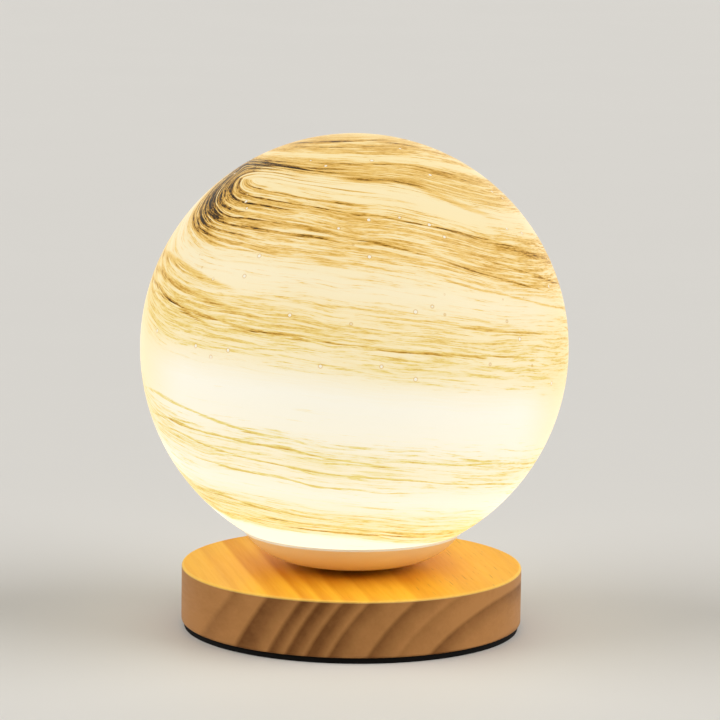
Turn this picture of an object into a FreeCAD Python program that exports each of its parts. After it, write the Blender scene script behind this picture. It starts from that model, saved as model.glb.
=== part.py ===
import FreeCAD, Part
import Sketcher
import math
import os
import re

# Globe table lamp: a streaked glass globe on a small white cup, on a round wooden base.
# Millimetres, Z up. The origin is the centre of the anti-slip pad's underside.
# The front faces -Y. The power inlet and the button are at the back, on +Y.

VECTOR = FreeCAD.Vector
document = FreeCAD.newDocument("GlobeLamp")

# Driving dimensions: name, value, what it is
SIZES = [
    ("pad_inset", 1.0, "anti-slip pad's edge inside the wood's side"),
    ("pad_thickness", 2.0, "anti-slip pad"),
    ("base_radius", 60.0, "wooden base"),
    ("base_thickness", 20.0, "wooden base"),
    ("base_edge_round", 0.8, "rounded edges of the wooden base"),
    ("wood_roof_thickness", 7.0, "wood left above the hollow in the base"),
    ("hollow_wall", 18.0, "wood left round the hollow"),
    ("channel_width", 24.0, "hollow's channel to the back"),
    ("channel_overlap", 12.0, "channel's start inside the round hollow"),
    ("cover_rim_wall", 4.0, "wood left round the cover"),
    ("cover_thickness", 2.0, "plate that closes the hollow"),
    ("cover_clearance", 0.3, "gap round the cover"),
    ("cover_screw_edge", 5.7, "cover screws from the cover's edge"),
    ("cover_screw_radius", 1.4, "cover screw's shank"),
    ("cover_screw_length", 9.0, "cover screw's shank"),
    ("cover_screw_head_radius", 2.8, "cover screw's head"),
    ("cover_screw_head_height", 1.2, "cover screw's head"),
    ("tube_radius", 5.0, "threaded tube"),
    ("tube_bore_radius", 3.5, "threaded tube's bore, for the wires"),
    ("tube_overrun", 1.0, "tube past each nut"),
    ("tube_hole_clearance", 0.2, "gap round the tube in wood and cup"),
    ("nut_across_flats", 14.0, "tube nuts"),
    ("nut_height", 2.7, "tube nuts"),
    ("washer_radius", 7.4, "tube washers"),
    ("washer_thickness", 1.0, "tube washers"),
    ("thread_clearance", 0.05, "gap between a nut or washer and the tube"),
    ("cup_height", 12.4, "cup's rim above the wood"),
    ("cup_rim_radius", 38.4, "outside of the cup's rim"),
    ("cup_bottom_curve_radius", 100.0, "shallow curve under the cup"),
    ("cup_side_curve_radius", 24.0, "curve up the cup's side"),
    ("cup_seat_sink", 0.3, "how much of the shallow curve is cut flat for the seat"),
    ("cup_wall", 2.0, "cup"),
    ("boss_inset", 14.4, "cup's bosses from its rim"),
    ("boss_radius", 3.2, "cup's bosses"),
    ("plate_inset", 4.4, "light plate's edge inside the cup's rim"),
    ("plate_thickness", 1.5, "light plate"),
    ("plate_wire_hole_radius", 4.0, "light plate's middle hole"),
    ("collar_height", 5.0, "light plate's collar, inside the globe's opening"),
    ("collar_wall", 1.5, "light plate's collar"),
    ("collar_clearance", 0.5, "gap between the collar and the glass"),
    ("plate_screw_radius", 1.4, "light plate screw's shank"),
    ("plate_screw_length", 6.0, "light plate screw's shank"),
    ("plate_screw_head_radius", 2.6, "light plate screw's head"),
    ("plate_screw_head_height", 1.6, "light plate screw's head"),
    ("gasket_thickness", 0.8, "ring between cup and glass"),
    ("gasket_clearance", 0.2, "gap between the ring and the collar"),
    ("gasket_inset", 0.4, "ring's edge inside the glass's edge"),
    ("globe_seat_gap", 0.1, "glass above its ring"),
    ("globe_radius", 75.0, "outside of the glass globe"),
    ("glass_thickness", 3.0, "glass globe"),
    ("glass_overhang", 0.55, "outer edge of the globe's opening past the cup's rim"),
    ("glass_edge_chamfer", 0.4, "ground edges of the globe's opening"),
    ("holder_width", 18.0, "lampholder, side to side"),
    ("holder_depth", 9.4, "lampholder, front to back"),
    ("holder_height", 12.0, "lampholder"),
    ("holder_edge_chamfer", 0.8, "lampholder's upright edges"),
    ("holder_screw_spacing", 13.6, "between the lampholder's screws"),
    ("holder_screw_radius", 1.2, "lampholder screw's shank"),
    ("holder_screw_length", 12.0, "lampholder screw's shank"),
    ("holder_screw_head_radius", 1.9, "lampholder screw's head"),
    ("holder_screw_head_height", 1.5, "lampholder screw's head"),
    ("holder_screw_pit_depth", 3.0, "pit round each lampholder screw's head"),
    ("contact_radius", 1.3, "outside of a lampholder contact"),
    ("contact_length", 6.8, "lampholder contact"),
    ("contact_floor", 2.5, "lampholder contact above the holder's underside"),
    ("wire_radius", 0.6, "lamp wires"),
    ("wire_spacing", 2.5, "between the two lamp wires"),
    ("wire_bend_radius", 4.0, "lamp wire's turn up into the tube"),
    ("wire_height_on_board", 1.0, "lamp wire's middle above the board"),
    ("wire_end_gap", 0.1, "between a wire's end and its contact"),
    ("pin_radius", 0.35, "bulb pins"),
    ("pin_spacing", 4.0, "between the bulb's pins"),
    ("pin_length", 8.0, "bulb pins below the bulb's base"),
    ("pin_clearance", 0.1, "gap round a pin in its contact"),
    ("bulb_seat_gap", 0.1, "bulb above the lampholder"),
    ("bulb_base_radius", 5.5, "bulb's base"),
    ("bulb_base_height", 2.5, "bulb's base below its flange"),
    ("bulb_flange_thickness", 1.5, "flange that the bulb's cover stands on"),
    ("bulb_radius", 7.0, "bulb's cover"),
    ("bulb_cover_height", 34.0, "bulb's cover"),
    ("bulb_cover_wall", 0.8, "bulb's cover"),
    ("core_width", 6.6, "post that the light chips sit on"),
    ("core_height", 27.0, "post that the light chips sit on"),
    ("chip_width", 2.8, "light chip"),
    ("chip_height", 3.5, "light chip"),
    ("chip_thickness", 0.7, "light chip"),
    ("chip_spacing", 5.2, "between light chips up the post"),
    ("board_width", 22.0, "driver board"),
    ("board_thickness", 1.6, "driver board"),
    ("board_back_gap", 2.7, "driver board's back from the port plate"),
    ("board_length", 37.3, "driver board"),
    ("spacer_height", 6.4, "spacers between board and wood"),
    ("spacer_radius", 2.2, "spacers between board and wood"),
    ("spacer_side", 8.0, "front spacers from the middle"),
    ("spacer_edge", 3.5, "front spacers from the board's front edge"),
    ("rear_spacer_edge", 6.8, "rear spacer from the board's back edge"),
    ("board_screw_radius", 1.1, "board screw's shank"),
    ("board_screw_grip", 4.0, "board screw in the wood"),
    ("board_screw_head_radius", 2.1, "board screw's head"),
    ("board_screw_head_height", 1.5, "board screw's head"),
    ("terminal_width", 7.0, "wire terminal"),
    ("terminal_length", 6.0, "wire terminal"),
    ("terminal_height", 5.0, "wire terminal"),
    ("terminal_wire_depth", 2.0, "how far each wire goes into the terminal"),
    ("coil_side", 7.0, "power inductor"),
    ("coil_height", 4.2, "power inductor"),
    ("coil_edge_round", 1.2, "power inductor's corners"),
    ("chip_side", 5.0, "driver chip"),
    ("driver_chip_height", 1.1, "driver chip"),
    ("parts_row_side", 5.5, "driver parts from the middle"),
    ("terminal_share", 0.10, "wire terminal's front, as a share of the board in front of the switch"),
    ("first_row_share", 0.575, "inductor and chip, as a share of the same length"),
    ("second_row_share", 0.845, "first capacitor, as a share of the same length"),
    ("third_row_share", 0.925, "second capacitor, as a share of the same length"),
    ("capacitor_radius", 2.5, "capacitors"),
    ("capacitor_height", 5.4, "capacitors"),
    ("capacitor_foot", 1.0, "square foot of a capacitor"),
    ("inlet_offset", 5.0, "inlet from the middle"),
    ("inlet_width", 8.94, "inlet shell"),
    ("inlet_height", 3.26, "inlet shell"),
    ("inlet_wall", 0.3, "inlet shell"),
    ("inlet_length", 11.0, "inlet shell"),
    ("inlet_corner_radius", 1.5, "inlet shell's rounded ends"),
    ("inlet_recess", 0.3, "inlet shell's mouth behind the plate's face"),
    ("inlet_clearance", 0.15, "gap between inlet shell and plate"),
    ("tongue_width", 6.69, "tongue inside the inlet"),
    ("tongue_thickness", 0.7, "tongue inside the inlet"),
    ("tongue_recess", 0.8, "tongue's tip behind the shell's mouth"),
    ("tongue_root_length", 1.5, "block that the tongue stands on"),
    ("tongue_clearance", 0.05, "gap between tongue block and shell"),
    ("switch_offset", 6.5, "switch from the middle"),
    ("switch_side", 5.8, "switch body, across"),
    ("switch_length", 9.0, "switch body"),
    ("switch_gap", 2.4, "between the pressed button and the switch"),
    ("plunger_side", 2.7, "switch plunger, across"),
    ("plunger_clearance", 0.1, "gap round the plunger"),
    ("plunger_reach", 5.8, "plunger inside the switch at rest"),
    ("button_radius", 2.4, "button cap"),
    ("button_clearance", 0.25, "gap round the cap in the plate"),
    ("button_stand_out", 1.5, "cap's face proud of the plate at rest"),
    ("button_travel", 1.5, "button"),
    ("button_edge_round", 0.6, "button cap's face"),
    ("button_flange_radius", 3.1, "flange that keeps the cap in"),
    ("button_flange_thickness", 1.0, "flange that keeps the cap in"),
    ("button_flange_gap", 0.1, "flange behind the plate"),
    ("button_socket_depth", 3.0, "socket in the cap for the plunger"),
    ("port_plate_width", 34.0, "recess for the port plate"),
    ("port_plate_height", 10.5, "recess for the port plate"),
    ("port_plate_lift", 4.0, "recess above the wood's underside"),
    ("port_seat_depth", 5.0, "recess's flat back from the wood's side"),
    ("port_plate_clearance", 0.15, "gap round the port plate"),
    ("port_face_inset", 0.2, "port plate's face inside the wood's side"),
    ("port_screw_side", 13.8, "port plate screws from the middle"),
    ("port_screw_radius", 0.9, "port plate screw's shank"),
    ("port_screw_length", 7.0, "port plate screw's shank"),
    ("port_screw_head_radius", 1.8, "port plate screw's head"),
    ("port_screw_head_height", 1.0, "port plate screw's head"),
    ("port_screw_floor", 1.4, "plate left under a screw's head"),
    ("screw_clearance", 0.1, "gap round a screw's shank or head"),
    ("cross_width", 0.5, "slots of the cross in a screw's head"),
    ("cross_depth", 0.6, "cross in a screw's head"),
    ("overrun", 4.0, "how far a cut runs past the solid"),
]

COVER_SCREWS = 4
PLATE_SCREWS = 3
CHIPS_PER_SIDE = 4
NUT_SIDES = 6
FULL_CIRCLE = 360.0
PLACE_TOLERANCE = 1e-4
VOLUME_TOLERANCE = 0.01

sheet = document.addObject("Spreadsheet::Sheet", "Sizes")
for row, (alias, value, meaning) in enumerate(SIZES, start=1):
    sheet.set(f"A{row}", meaning)
    sheet.set(f"B{row}", str(value))
    sheet.setAlias(f"B{row}", alias)
document.recompute()
ALIASES = {alias for alias, value, meaning in SIZES}


# Expressions are written with the sheet's bare names. These three read and bind them.

def named(expression):
    """The expression with the sheet's name before each of its sizes."""
    return re.sub(r"[a-z_]+", lambda word: "Sizes." * (word.group() in ALIASES) + word.group(), expression)


def number(expression):
    """The value that the expression has now."""
    return float(sheet.evalExpression(expression))


def bind(thing, member, expression):
    thing.setExpression(member, named(expression))


def place(thing, x="0", y="0", z="0"):
    """Tie the place of a sub-part to sizes."""
    for member, expression in zip("xyz", (x, y, z)):
        if expression != "0":
            bind(thing, f"Placement.Base.{member}", expression)


# Levels up the lamp and places across it, as expressions

WOOD_TOP = "(pad_thickness + base_thickness)"
HOLLOW_ROOF = "(pad_thickness + base_thickness - wood_roof_thickness)"
HOLLOW_DEPTH = "(base_thickness - wood_roof_thickness)"
HOLLOW_RADIUS = "(base_radius - hollow_wall)"
COVER_RADIUS = "(base_radius - cover_rim_wall - cover_clearance)"
COVER_SCREW_CIRCLE = f"({COVER_RADIUS} - cover_screw_edge)"
TUBE_HOLE_RADIUS = "(tube_radius + tube_hole_clearance)"
CUP_RIM = f"({WOOD_TOP} + cup_height)"
PLATE_BOTTOM = f"({CUP_RIM} - plate_thickness)"
GLOBE_CUT = f"({CUP_RIM} + gasket_thickness + globe_seat_gap)"
GLOBE_OPENING_RADIUS = "(cup_rim_radius + glass_overhang)"
GLOBE_CUT_DROP = f"sqrt(globe_radius^2 - {GLOBE_OPENING_RADIUS}^2)"
GLASS_BORE_RADIUS = f"sqrt((globe_radius - glass_thickness)^2 - {GLOBE_CUT_DROP}^2)"
COLLAR_RADIUS = f"({GLASS_BORE_RADIUS} - collar_clearance)"
BOSS_CIRCLE = "(cup_rim_radius - boss_inset)"
HOLDER_TOP = f"({CUP_RIM} + holder_height)"
BOARD_TOP = f"({HOLLOW_ROOF} - spacer_height)"
BOARD_BOTTOM = f"({BOARD_TOP} - board_thickness)"
PORT_SEAT = "(base_radius - port_seat_depth)"
BOARD_BACK = f"({PORT_SEAT} - board_back_gap)"
BOARD_FRONT = f"({BOARD_BACK} - board_length)"
INLET_LEVEL = f"({BOARD_TOP} + inlet_height / 2)"
SWITCH_LEVEL = f"({BOARD_TOP} + switch_side / 2)"
PORT_FACE_RADIUS = "(base_radius - port_face_inset)"
INLET_MOUTH = f"(sqrt({PORT_FACE_RADIUS}^2 - inlet_offset^2) - inlet_recess)"
BUTTON_FACE = f"(sqrt({PORT_FACE_RADIUS}^2 - switch_offset^2) + button_stand_out)"
BUTTON_BACK = f"({PORT_SEAT} - button_flange_gap - button_flange_thickness)"
SWITCH_FACE = f"({BUTTON_BACK} - button_travel - switch_gap)"
SWITCH_START = f"({SWITCH_FACE} - switch_length)"
PARTS_LENGTH = f"({SWITCH_START} - {BOARD_FRONT})"
PORT_SCREW_LEVEL = "(pad_thickness + port_plate_lift + port_plate_height / 2)"
WIRE_LEVEL = f"({BOARD_TOP} + wire_height_on_board)"


# Sketches

def new_body(name):
    body = document.addObject("PartDesign::Body", name)
    body.Label = name
    body.AllowCompound = True
    return body


def new_sketch(body, name, plane="XY_Plane", height="0"):
    """A sketch on one of the body's own origin planes, height along that plane's normal."""
    sketch = body.newObject("Sketcher::SketchObject", name)
    origin_plane = next(feature for feature in body.Origin.OriginFeatures if feature.Role == plane)
    sketch.AttachmentSupport = (origin_plane, [""])
    sketch.MapMode = "FlatFace"
    if height != "0":
        bind(sketch, "AttachmentOffset.Base.z", height)
    return sketch


def pin_point(sketch, geometry, end, x, y):
    """Tie a point of the sketch to two expressions, or to an axis where one is zero."""
    for kind, axis, expression in (("DistanceX", -2, x), ("DistanceY", -1, y)):
        if expression == "0":
            sketch.addConstraint(Sketcher.Constraint("PointOnObject", geometry, end, axis))
            continue
        constraint = Sketcher.Constraint(kind, -1, 1, geometry, end, number(expression))
        index = sketch.addConstraint(constraint)
        bind(sketch, f"Constraints[{index}]", expression)


def tie_radius(sketch, geometry, expression):
    index = sketch.addConstraint(Sketcher.Constraint("Radius", geometry, number(expression)))
    bind(sketch, f"Constraints[{index}]", expression)


def draw_circle(sketch, x, y, radius):
    centre = VECTOR(number(x), number(y), 0)
    geometry = sketch.addGeometry(Part.Circle(centre, VECTOR(0, 0, 1), number(radius)))
    pin_point(sketch, geometry, 3, x, y)
    tie_radius(sketch, geometry, radius)


def arc_between(start, end, radius, turn_left):
    """The shorter arc from start to end, as the anticlockwise arc that a sketch holds."""
    first, last = (start, end) if turn_left else (end, start)
    chord = last - first
    sagitta_side = VECTOR(-chord.y, chord.x, 0).normalize()
    rise = math.sqrt(max(radius ** 2 - (chord.Length / 2) ** 2, 0))
    centre = first + chord / 2 + sagitta_side * rise
    circle = Part.Circle(centre, VECTOR(0, 0, 1), radius)
    return Part.ArcOfCircle(circle, circle.parameter(first), circle.parameter(last))


def draw_outline(sketch, corners, arcs=None):
    """A closed outline through the corners, given as pairs of expressions.

    arcs maps the number of a side to the radius of its arc and whether it turns left.
    """
    arcs = arcs or {}
    points = [VECTOR(number(x), number(y), 0) for x, y in corners]
    ends = []
    for side, start in enumerate(points):
        end = points[(side + 1) % len(points)]
        if side in arcs:
            radius, turn_left = arcs[side]
            geometry = sketch.addGeometry(arc_between(start, end, number(radius), turn_left))
            ends.append((geometry, 1, 2) if turn_left else (geometry, 2, 1))
        else:
            ends.append((sketch.addGeometry(Part.LineSegment(start, end)), 1, 2))
    for side, (geometry, first, last) in enumerate(ends):
        following, following_first, following_last = ends[(side + 1) % len(ends)]
        sketch.addConstraint(Sketcher.Constraint("Coincident", geometry, last, following, following_first))
        pin_point(sketch, geometry, first, *corners[side])
    for side, (radius, turn_left) in arcs.items():
        tie_radius(sketch, ends[side][0], radius)


def draw_rectangle(sketch, left, right, bottom, top):
    draw_outline(sketch, [(left, bottom), (right, bottom), (right, top), (left, top)])


def draw_rounded_rectangle(sketch, x, y, width, height, radius):
    """A rectangle about the point x, y, with a round at each corner."""
    left, right = f"({x} - ({width}) / 2)", f"({x} + ({width}) / 2)"
    bottom, top = f"({y} - ({height}) / 2)", f"({y} + ({height}) / 2)"
    corners = [
        (f"{left} + {radius}", bottom), (f"{right} - {radius}", bottom),
        (right, f"{bottom} + {radius}"), (right, f"{top} - {radius}"),
        (f"{right} - {radius}", top), (f"{left} + {radius}", top),
        (left, f"{top} - {radius}"), (left, f"{bottom} + {radius}"),
    ]
    draw_outline(sketch, corners, {side: (radius, True) for side in (1, 3, 5, 7)})


# Features

def pad(body, sketch, length, down=False):
    feature = body.newObject("PartDesign::Pad", f"{sketch.Name}Pad")
    feature.Profile = sketch
    feature.Reversed = down
    bind(feature, "Length", length)
    document.recompute()
    return feature


def pocket(body, sketch, depth=None, along_normal=True):
    """Cut the sketch along its plane's normal or against it, right through where no depth is given."""
    before = body.Shape.Volume
    feature = body.newObject("PartDesign::Pocket", f"{sketch.Name}Pocket")
    feature.Profile = sketch
    feature.Reversed = along_normal
    if depth is None:
        feature.Type = "ThroughAll"
    else:
        bind(feature, "Length", depth)
    document.recompute()
    if body.Shape.Volume >= before:
        raise RuntimeError(f"{feature.Name} cuts nothing")
    return feature


def revolve(body, sketch):
    feature = body.newObject("PartDesign::Revolution", f"{sketch.Name}Revolution")
    feature.Profile = sketch
    feature.ReferenceAxis = (sketch, ["V_Axis"])
    feature.Angle = FULL_CIRCLE
    document.recompute()
    return feature


def round_edges(body, kind, size, wanted):
    """Fillet or chamfer the edges of the body's last feature that wanted picks."""
    base = body.Tip
    edges = [f"Edge{place}" for place, edge in enumerate(base.Shape.Edges, start=1)
             if not edge.Degenerated and wanted(edge)]
    feature = body.newObject(f"PartDesign::{kind}", f"{body.Name}{kind}")
    feature.Base = (base, edges)
    bind(feature, "Radius" if kind == "Fillet" else "Size", size)
    document.recompute()
    return feature


def near(value, wanted):
    return math.isclose(value, wanted, abs_tol=PLACE_TOLERANCE)


# Plain solids and groups of them

AXIS_TURNS = {
    "up": FreeCAD.Rotation(),
    "down": FreeCAD.Rotation(VECTOR(1, 0, 0), 180),
    "back": FreeCAD.Rotation(VECTOR(1, 0, 0), -90),
    "front": FreeCAD.Rotation(VECTOR(1, 0, 0), 90),
}


def cylinder(name, radius, height, x="0", y="0", z="0", axis="up"):
    solid = document.addObject("Part::Cylinder", name)
    solid.Placement = FreeCAD.Placement(VECTOR(), AXIS_TURNS[axis])
    bind(solid, "Radius", radius)
    bind(solid, "Height", height)
    place(solid, x, y, z)
    return solid


def box(name, width, depth, height, x="0", y="0", z="0"):
    """A box whose middle is at x, whose front is at y and whose bottom is at z."""
    solid = document.addObject("Part::Box", name)
    bind(solid, "Length", width)
    bind(solid, "Width", depth)
    bind(solid, "Height", height)
    place(solid, f"{x} - ({width}) / 2", y, z)
    return solid


def join(name, solids):
    joined = document.addObject("Part::MultiFuse", name)
    joined.Shapes = solids
    joined.Refine = True
    return joined


def cut(name, solid, tool):
    result = document.addObject("Part::Cut", name)
    result.Base = solid
    result.Tool = tool
    return result


def group(name, solids):
    """Separate solids that share one node."""
    compound = document.addObject("Part::Compound", name)
    compound.Label = name
    compound.Links = solids
    return compound


def screws(name, size, length, places, axis):
    """A node of cross-headed screws. Each place is where a head meets what it holds.

    axis is the way the heads face, and size starts the names of the screw's sizes.
    """
    made = []
    head_height = f"{size}_head_height"
    head_radius = f"{size}_head_radius"
    for turn, (x, y, z) in enumerate(places):
        head = cylinder(f"{name}Head{turn}", head_radius, head_height)
        shank = cylinder(f"{name}Shank{turn}", f"{size}_radius", length)
        place(shank, z=f"-({length})")
        tip = document.addObject("Part::Cone", f"{name}Tip{turn}")
        bind(tip, "Radius2", f"{size}_radius")
        tip.Radius1 = 0
        bind(tip, "Height", f"{size}_radius")
        place(tip, z=f"-({length}) - {size}_radius")
        slots = [
            box(f"{name}SlotA{turn}", head_radius, "cross_width", "cross_depth",
                y="-cross_width / 2", z=f"{head_height} - cross_depth"),
            box(f"{name}SlotB{turn}", "cross_width", head_radius, "cross_depth",
                y=f"-{head_radius} / 2", z=f"{head_height} - cross_depth"),
        ]
        screw = cut(f"{name}Screw{turn}", join(f"{name}Solid{turn}", [head, shank, tip]),
                    join(f"{name}Cross{turn}", slots))
        screw.Placement = FreeCAD.Placement(VECTOR(), AXIS_TURNS[axis])
        place(screw, x, y, z)
        made.append(screw)
    return group(name, made)


def round_places(radius, count, first_turn, z):
    """Places evenly round the Z axis, as expressions."""
    turns = [first_turn + FULL_CIRCLE * step / count for step in range(count)]
    return [(f"{radius} * cos({turn})", f"{radius} * sin({turn})", z) for turn in turns]


# The wooden base and what closes it

COVER_SCREW_ANGLE = 45.0
PLATE_SCREW_ANGLE = 90.0
SPACER_PLACES = [
    ("-spacer_side", f"{BOARD_FRONT} + spacer_edge"),
    ("spacer_side", f"{BOARD_FRONT} + spacer_edge"),
    ("-spacer_side", f"{BOARD_BACK} - rear_spacer_edge"),
]
PORT_SCREW_SIDES = ("-port_screw_side", "port_screw_side")


def make_pad():
    node = cylinder("anti_slip_pad", "base_radius - pad_inset", "pad_thickness")
    return [node]


def make_wood_base():
    body = new_body("wood_base")
    place(body, z="pad_thickness")
    disc = new_sketch(body, "BaseDisc")
    draw_circle(disc, "0", "0", "base_radius")
    pad(body, disc, "base_thickness")
    round_edges(body, "Fillet", "base_edge_round", lambda edge: isinstance(edge.Curve, Part.Circle))

    rebate = new_sketch(body, "CoverRebate")
    draw_circle(rebate, "0", "0", f"{COVER_RADIUS} + cover_clearance")
    pocket(body, rebate, "cover_thickness")
    hollow = new_sketch(body, "RoundHollow")
    draw_circle(hollow, "0", "0", HOLLOW_RADIUS)
    pocket(body, hollow, HOLLOW_DEPTH)
    channel = new_sketch(body, "BackChannel")
    draw_rectangle(channel, "-channel_width / 2", "channel_width / 2",
                   f"{HOLLOW_RADIUS} - channel_overlap", PORT_SEAT)
    pocket(body, channel, HOLLOW_DEPTH)
    recess = new_sketch(body, "PortRecess", height="port_plate_lift")
    draw_rectangle(recess, "-port_plate_width / 2", "port_plate_width / 2", PORT_SEAT,
                   "base_radius + overrun")
    pocket(body, recess, "port_plate_height")

    tube_hole = new_sketch(body, "TubeHole")
    draw_circle(tube_hole, "0", "0", TUBE_HOLE_RADIUS)
    pocket(body, tube_hole)
    cover_pilots = new_sketch(body, "CoverPilots", height="cover_thickness")
    for x, y, z in round_places(COVER_SCREW_CIRCLE, COVER_SCREWS, COVER_SCREW_ANGLE, "0"):
        draw_circle(cover_pilots, x, y, "cover_screw_radius + screw_clearance")
    pocket(body, cover_pilots, "cover_screw_length + cover_screw_radius")
    board_pilots = new_sketch(body, "BoardPilots", height=HOLLOW_DEPTH)
    for x, y in SPACER_PLACES:
        draw_circle(board_pilots, x, y, "board_screw_radius + screw_clearance")
    pocket(body, board_pilots, "board_screw_grip + board_screw_radius")
    port_pilots = new_sketch(body, "PortPilots", "XZ_Plane", height=f"-{PORT_SEAT}")
    for x in PORT_SCREW_SIDES:
        draw_circle(port_pilots, x, f"{PORT_SCREW_LEVEL} - pad_thickness",
                    "port_screw_radius + screw_clearance")
    pocket(body, port_pilots, "port_screw_length + port_screw_radius")
    return [body]


def make_base_cover():
    body = new_body("base_cover")
    place(body, z="pad_thickness")
    disc = new_sketch(body, "CoverDisc")
    draw_circle(disc, "0", "0", COVER_RADIUS)
    pad(body, disc, "cover_thickness")
    places = round_places(COVER_SCREW_CIRCLE, COVER_SCREWS, COVER_SCREW_ANGLE, "pad_thickness")
    head_pits = new_sketch(body, "CoverHeadPits")
    shank_holes = new_sketch(body, "CoverShankHoles")
    for x, y, z in places:
        draw_circle(head_pits, x, y, "cover_screw_head_radius + screw_clearance")
        draw_circle(shank_holes, x, y, "cover_screw_radius + screw_clearance")
    pocket(body, head_pits, "cover_screw_head_height")
    pocket(body, shank_holes)
    head_seats = [(x, y, f"{z} + cover_screw_head_height") for x, y, z in places]
    fasteners = screws("cover_screws", "cover_screw", "cover_screw_length", head_seats, "down")
    return [body, fasteners]


# The port plate, with the inlet and the button in it

def make_port_plate():
    body = new_body("port_plate")
    place(body, z="pad_thickness + port_plate_lift + port_plate_clearance")
    side = "(port_plate_width / 2 - port_plate_clearance)"
    face_at_side = f"sqrt({PORT_FACE_RADIUS}^2 - {side}^2)"
    plan = new_sketch(body, "PortPlan")
    draw_outline(plan, [(f"-{side}", PORT_SEAT), (side, PORT_SEAT), (side, face_at_side),
                        (f"-{side}", face_at_side)], {2: (PORT_FACE_RADIUS, True)})
    pad(body, plan, "port_plate_height - 2 * port_plate_clearance")

    own_level = "(pad_thickness + port_plate_lift + port_plate_clearance)"
    openings = new_sketch(body, "PortOpenings", "XZ_Plane")
    draw_rounded_rectangle(openings, "-inlet_offset", f"({INLET_LEVEL} - {own_level})",
                           "inlet_width + 2 * inlet_clearance", "inlet_height + 2 * inlet_clearance",
                           "inlet_corner_radius")
    draw_circle(openings, "switch_offset", f"{SWITCH_LEVEL} - {own_level}",
                "button_radius + button_clearance")
    for x in PORT_SCREW_SIDES:
        draw_circle(openings, x, f"{PORT_SCREW_LEVEL} - {own_level}", "port_screw_radius + screw_clearance")
    pocket(body, openings, along_normal=False)
    head_pits = new_sketch(body, "PortHeadPits", "XZ_Plane", height=f"-{PORT_SEAT} - port_screw_floor")
    for x in PORT_SCREW_SIDES:
        draw_circle(head_pits, x, f"{PORT_SCREW_LEVEL} - {own_level}",
                    "port_screw_head_radius + screw_clearance")
    pocket(body, head_pits, along_normal=False)
    heads = [(x, f"{PORT_SEAT} + port_screw_floor", PORT_SCREW_LEVEL) for x in PORT_SCREW_SIDES]
    fasteners = screws("port_plate_screws", "port_screw", "port_screw_length", heads, "back")
    return [body, fasteners]


def make_inlet():
    shell = new_body("usb_c_shell")
    place(shell, "-inlet_offset", f"{INLET_MOUTH} - inlet_length", INLET_LEVEL)
    outside = new_sketch(shell, "ShellOutside", "XZ_Plane")
    draw_rounded_rectangle(outside, "0", "0", "inlet_width", "inlet_height", "inlet_corner_radius")
    pad(shell, outside, "inlet_length", down=True)
    inside = new_sketch(shell, "ShellInside", "XZ_Plane")
    draw_rounded_rectangle(inside, "0", "0", "inlet_width - 2 * inlet_wall", "inlet_height - 2 * inlet_wall",
                           "(inlet_corner_radius - inlet_wall)")
    pocket(shell, inside, along_normal=False)

    tongue = new_body("usb_c_tongue")
    place(tongue, "-inlet_offset", f"{INLET_MOUTH} - inlet_length", INLET_LEVEL)
    root = new_sketch(tongue, "TongueRoot", "XZ_Plane")
    gap = "2 * (inlet_wall + tongue_clearance)"
    draw_rounded_rectangle(root, "0", "0", f"inlet_width - {gap}", f"inlet_height - {gap}",
                           "(inlet_corner_radius - inlet_wall)")
    pad(tongue, root, "tongue_root_length", down=True)
    blade = new_sketch(tongue, "TongueBlade", "XZ_Plane")
    draw_rectangle(blade, "-tongue_width / 2", "tongue_width / 2", "-tongue_thickness / 2",
                   "tongue_thickness / 2")
    pad(tongue, blade, "inlet_length - tongue_recess", down=True)
    return [shell, tongue]


def make_switch():
    body = new_body("switch_body")
    place(body, "switch_offset", SWITCH_START, SWITCH_LEVEL)
    outside = new_sketch(body, "SwitchOutside", "XZ_Plane")
    draw_rectangle(outside, "-switch_side / 2", "switch_side / 2", "-switch_side / 2", "switch_side / 2")
    pad(body, outside, "switch_length", down=True)
    half_bore = "(plunger_side / 2 + plunger_clearance)"
    bore = new_sketch(body, "SwitchBore", "XZ_Plane", height="-switch_length")
    draw_rectangle(bore, f"-{half_bore}", half_bore, f"-{half_bore}", half_bore)
    pocket(body, bore, "plunger_reach + button_travel + plunger_clearance")

    plunger_back = f"({SWITCH_FACE} - plunger_reach)"
    plunger_length = f"{BUTTON_BACK} + button_socket_depth - plunger_clearance - {plunger_back}"
    plunger = box("switch_plunger", "plunger_side", plunger_length, "plunger_side",
                  "switch_offset", plunger_back, f"{SWITCH_LEVEL} - plunger_side / 2")

    cap = new_body("power_button")
    place(cap, "switch_offset", BUTTON_BACK, SWITCH_LEVEL)
    flange = new_sketch(cap, "ButtonFlange", "XZ_Plane")
    draw_circle(flange, "0", "0", "button_flange_radius")
    pad(cap, flange, "button_flange_thickness", down=True)
    stem = new_sketch(cap, "ButtonStem", "XZ_Plane")
    draw_circle(stem, "0", "0", "button_radius")
    pad(cap, stem, f"{BUTTON_FACE} - {BUTTON_BACK}", down=True)
    face = number(f"{BUTTON_FACE} - {BUTTON_BACK}")
    round_edges(cap, "Fillet", "button_edge_round",
                lambda edge: isinstance(edge.Curve, Part.Circle) and near(edge.Curve.Center.y, face))
    half_socket = "(plunger_side / 2 + plunger_clearance / 2)"
    socket = new_sketch(cap, "ButtonSocket", "XZ_Plane")
    draw_rectangle(socket, f"-{half_socket}", half_socket, f"-{half_socket}", half_socket)
    pocket(cap, socket, "button_socket_depth", along_normal=False)
    return [body, plunger, cap]


# The driver board and its parts

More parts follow.
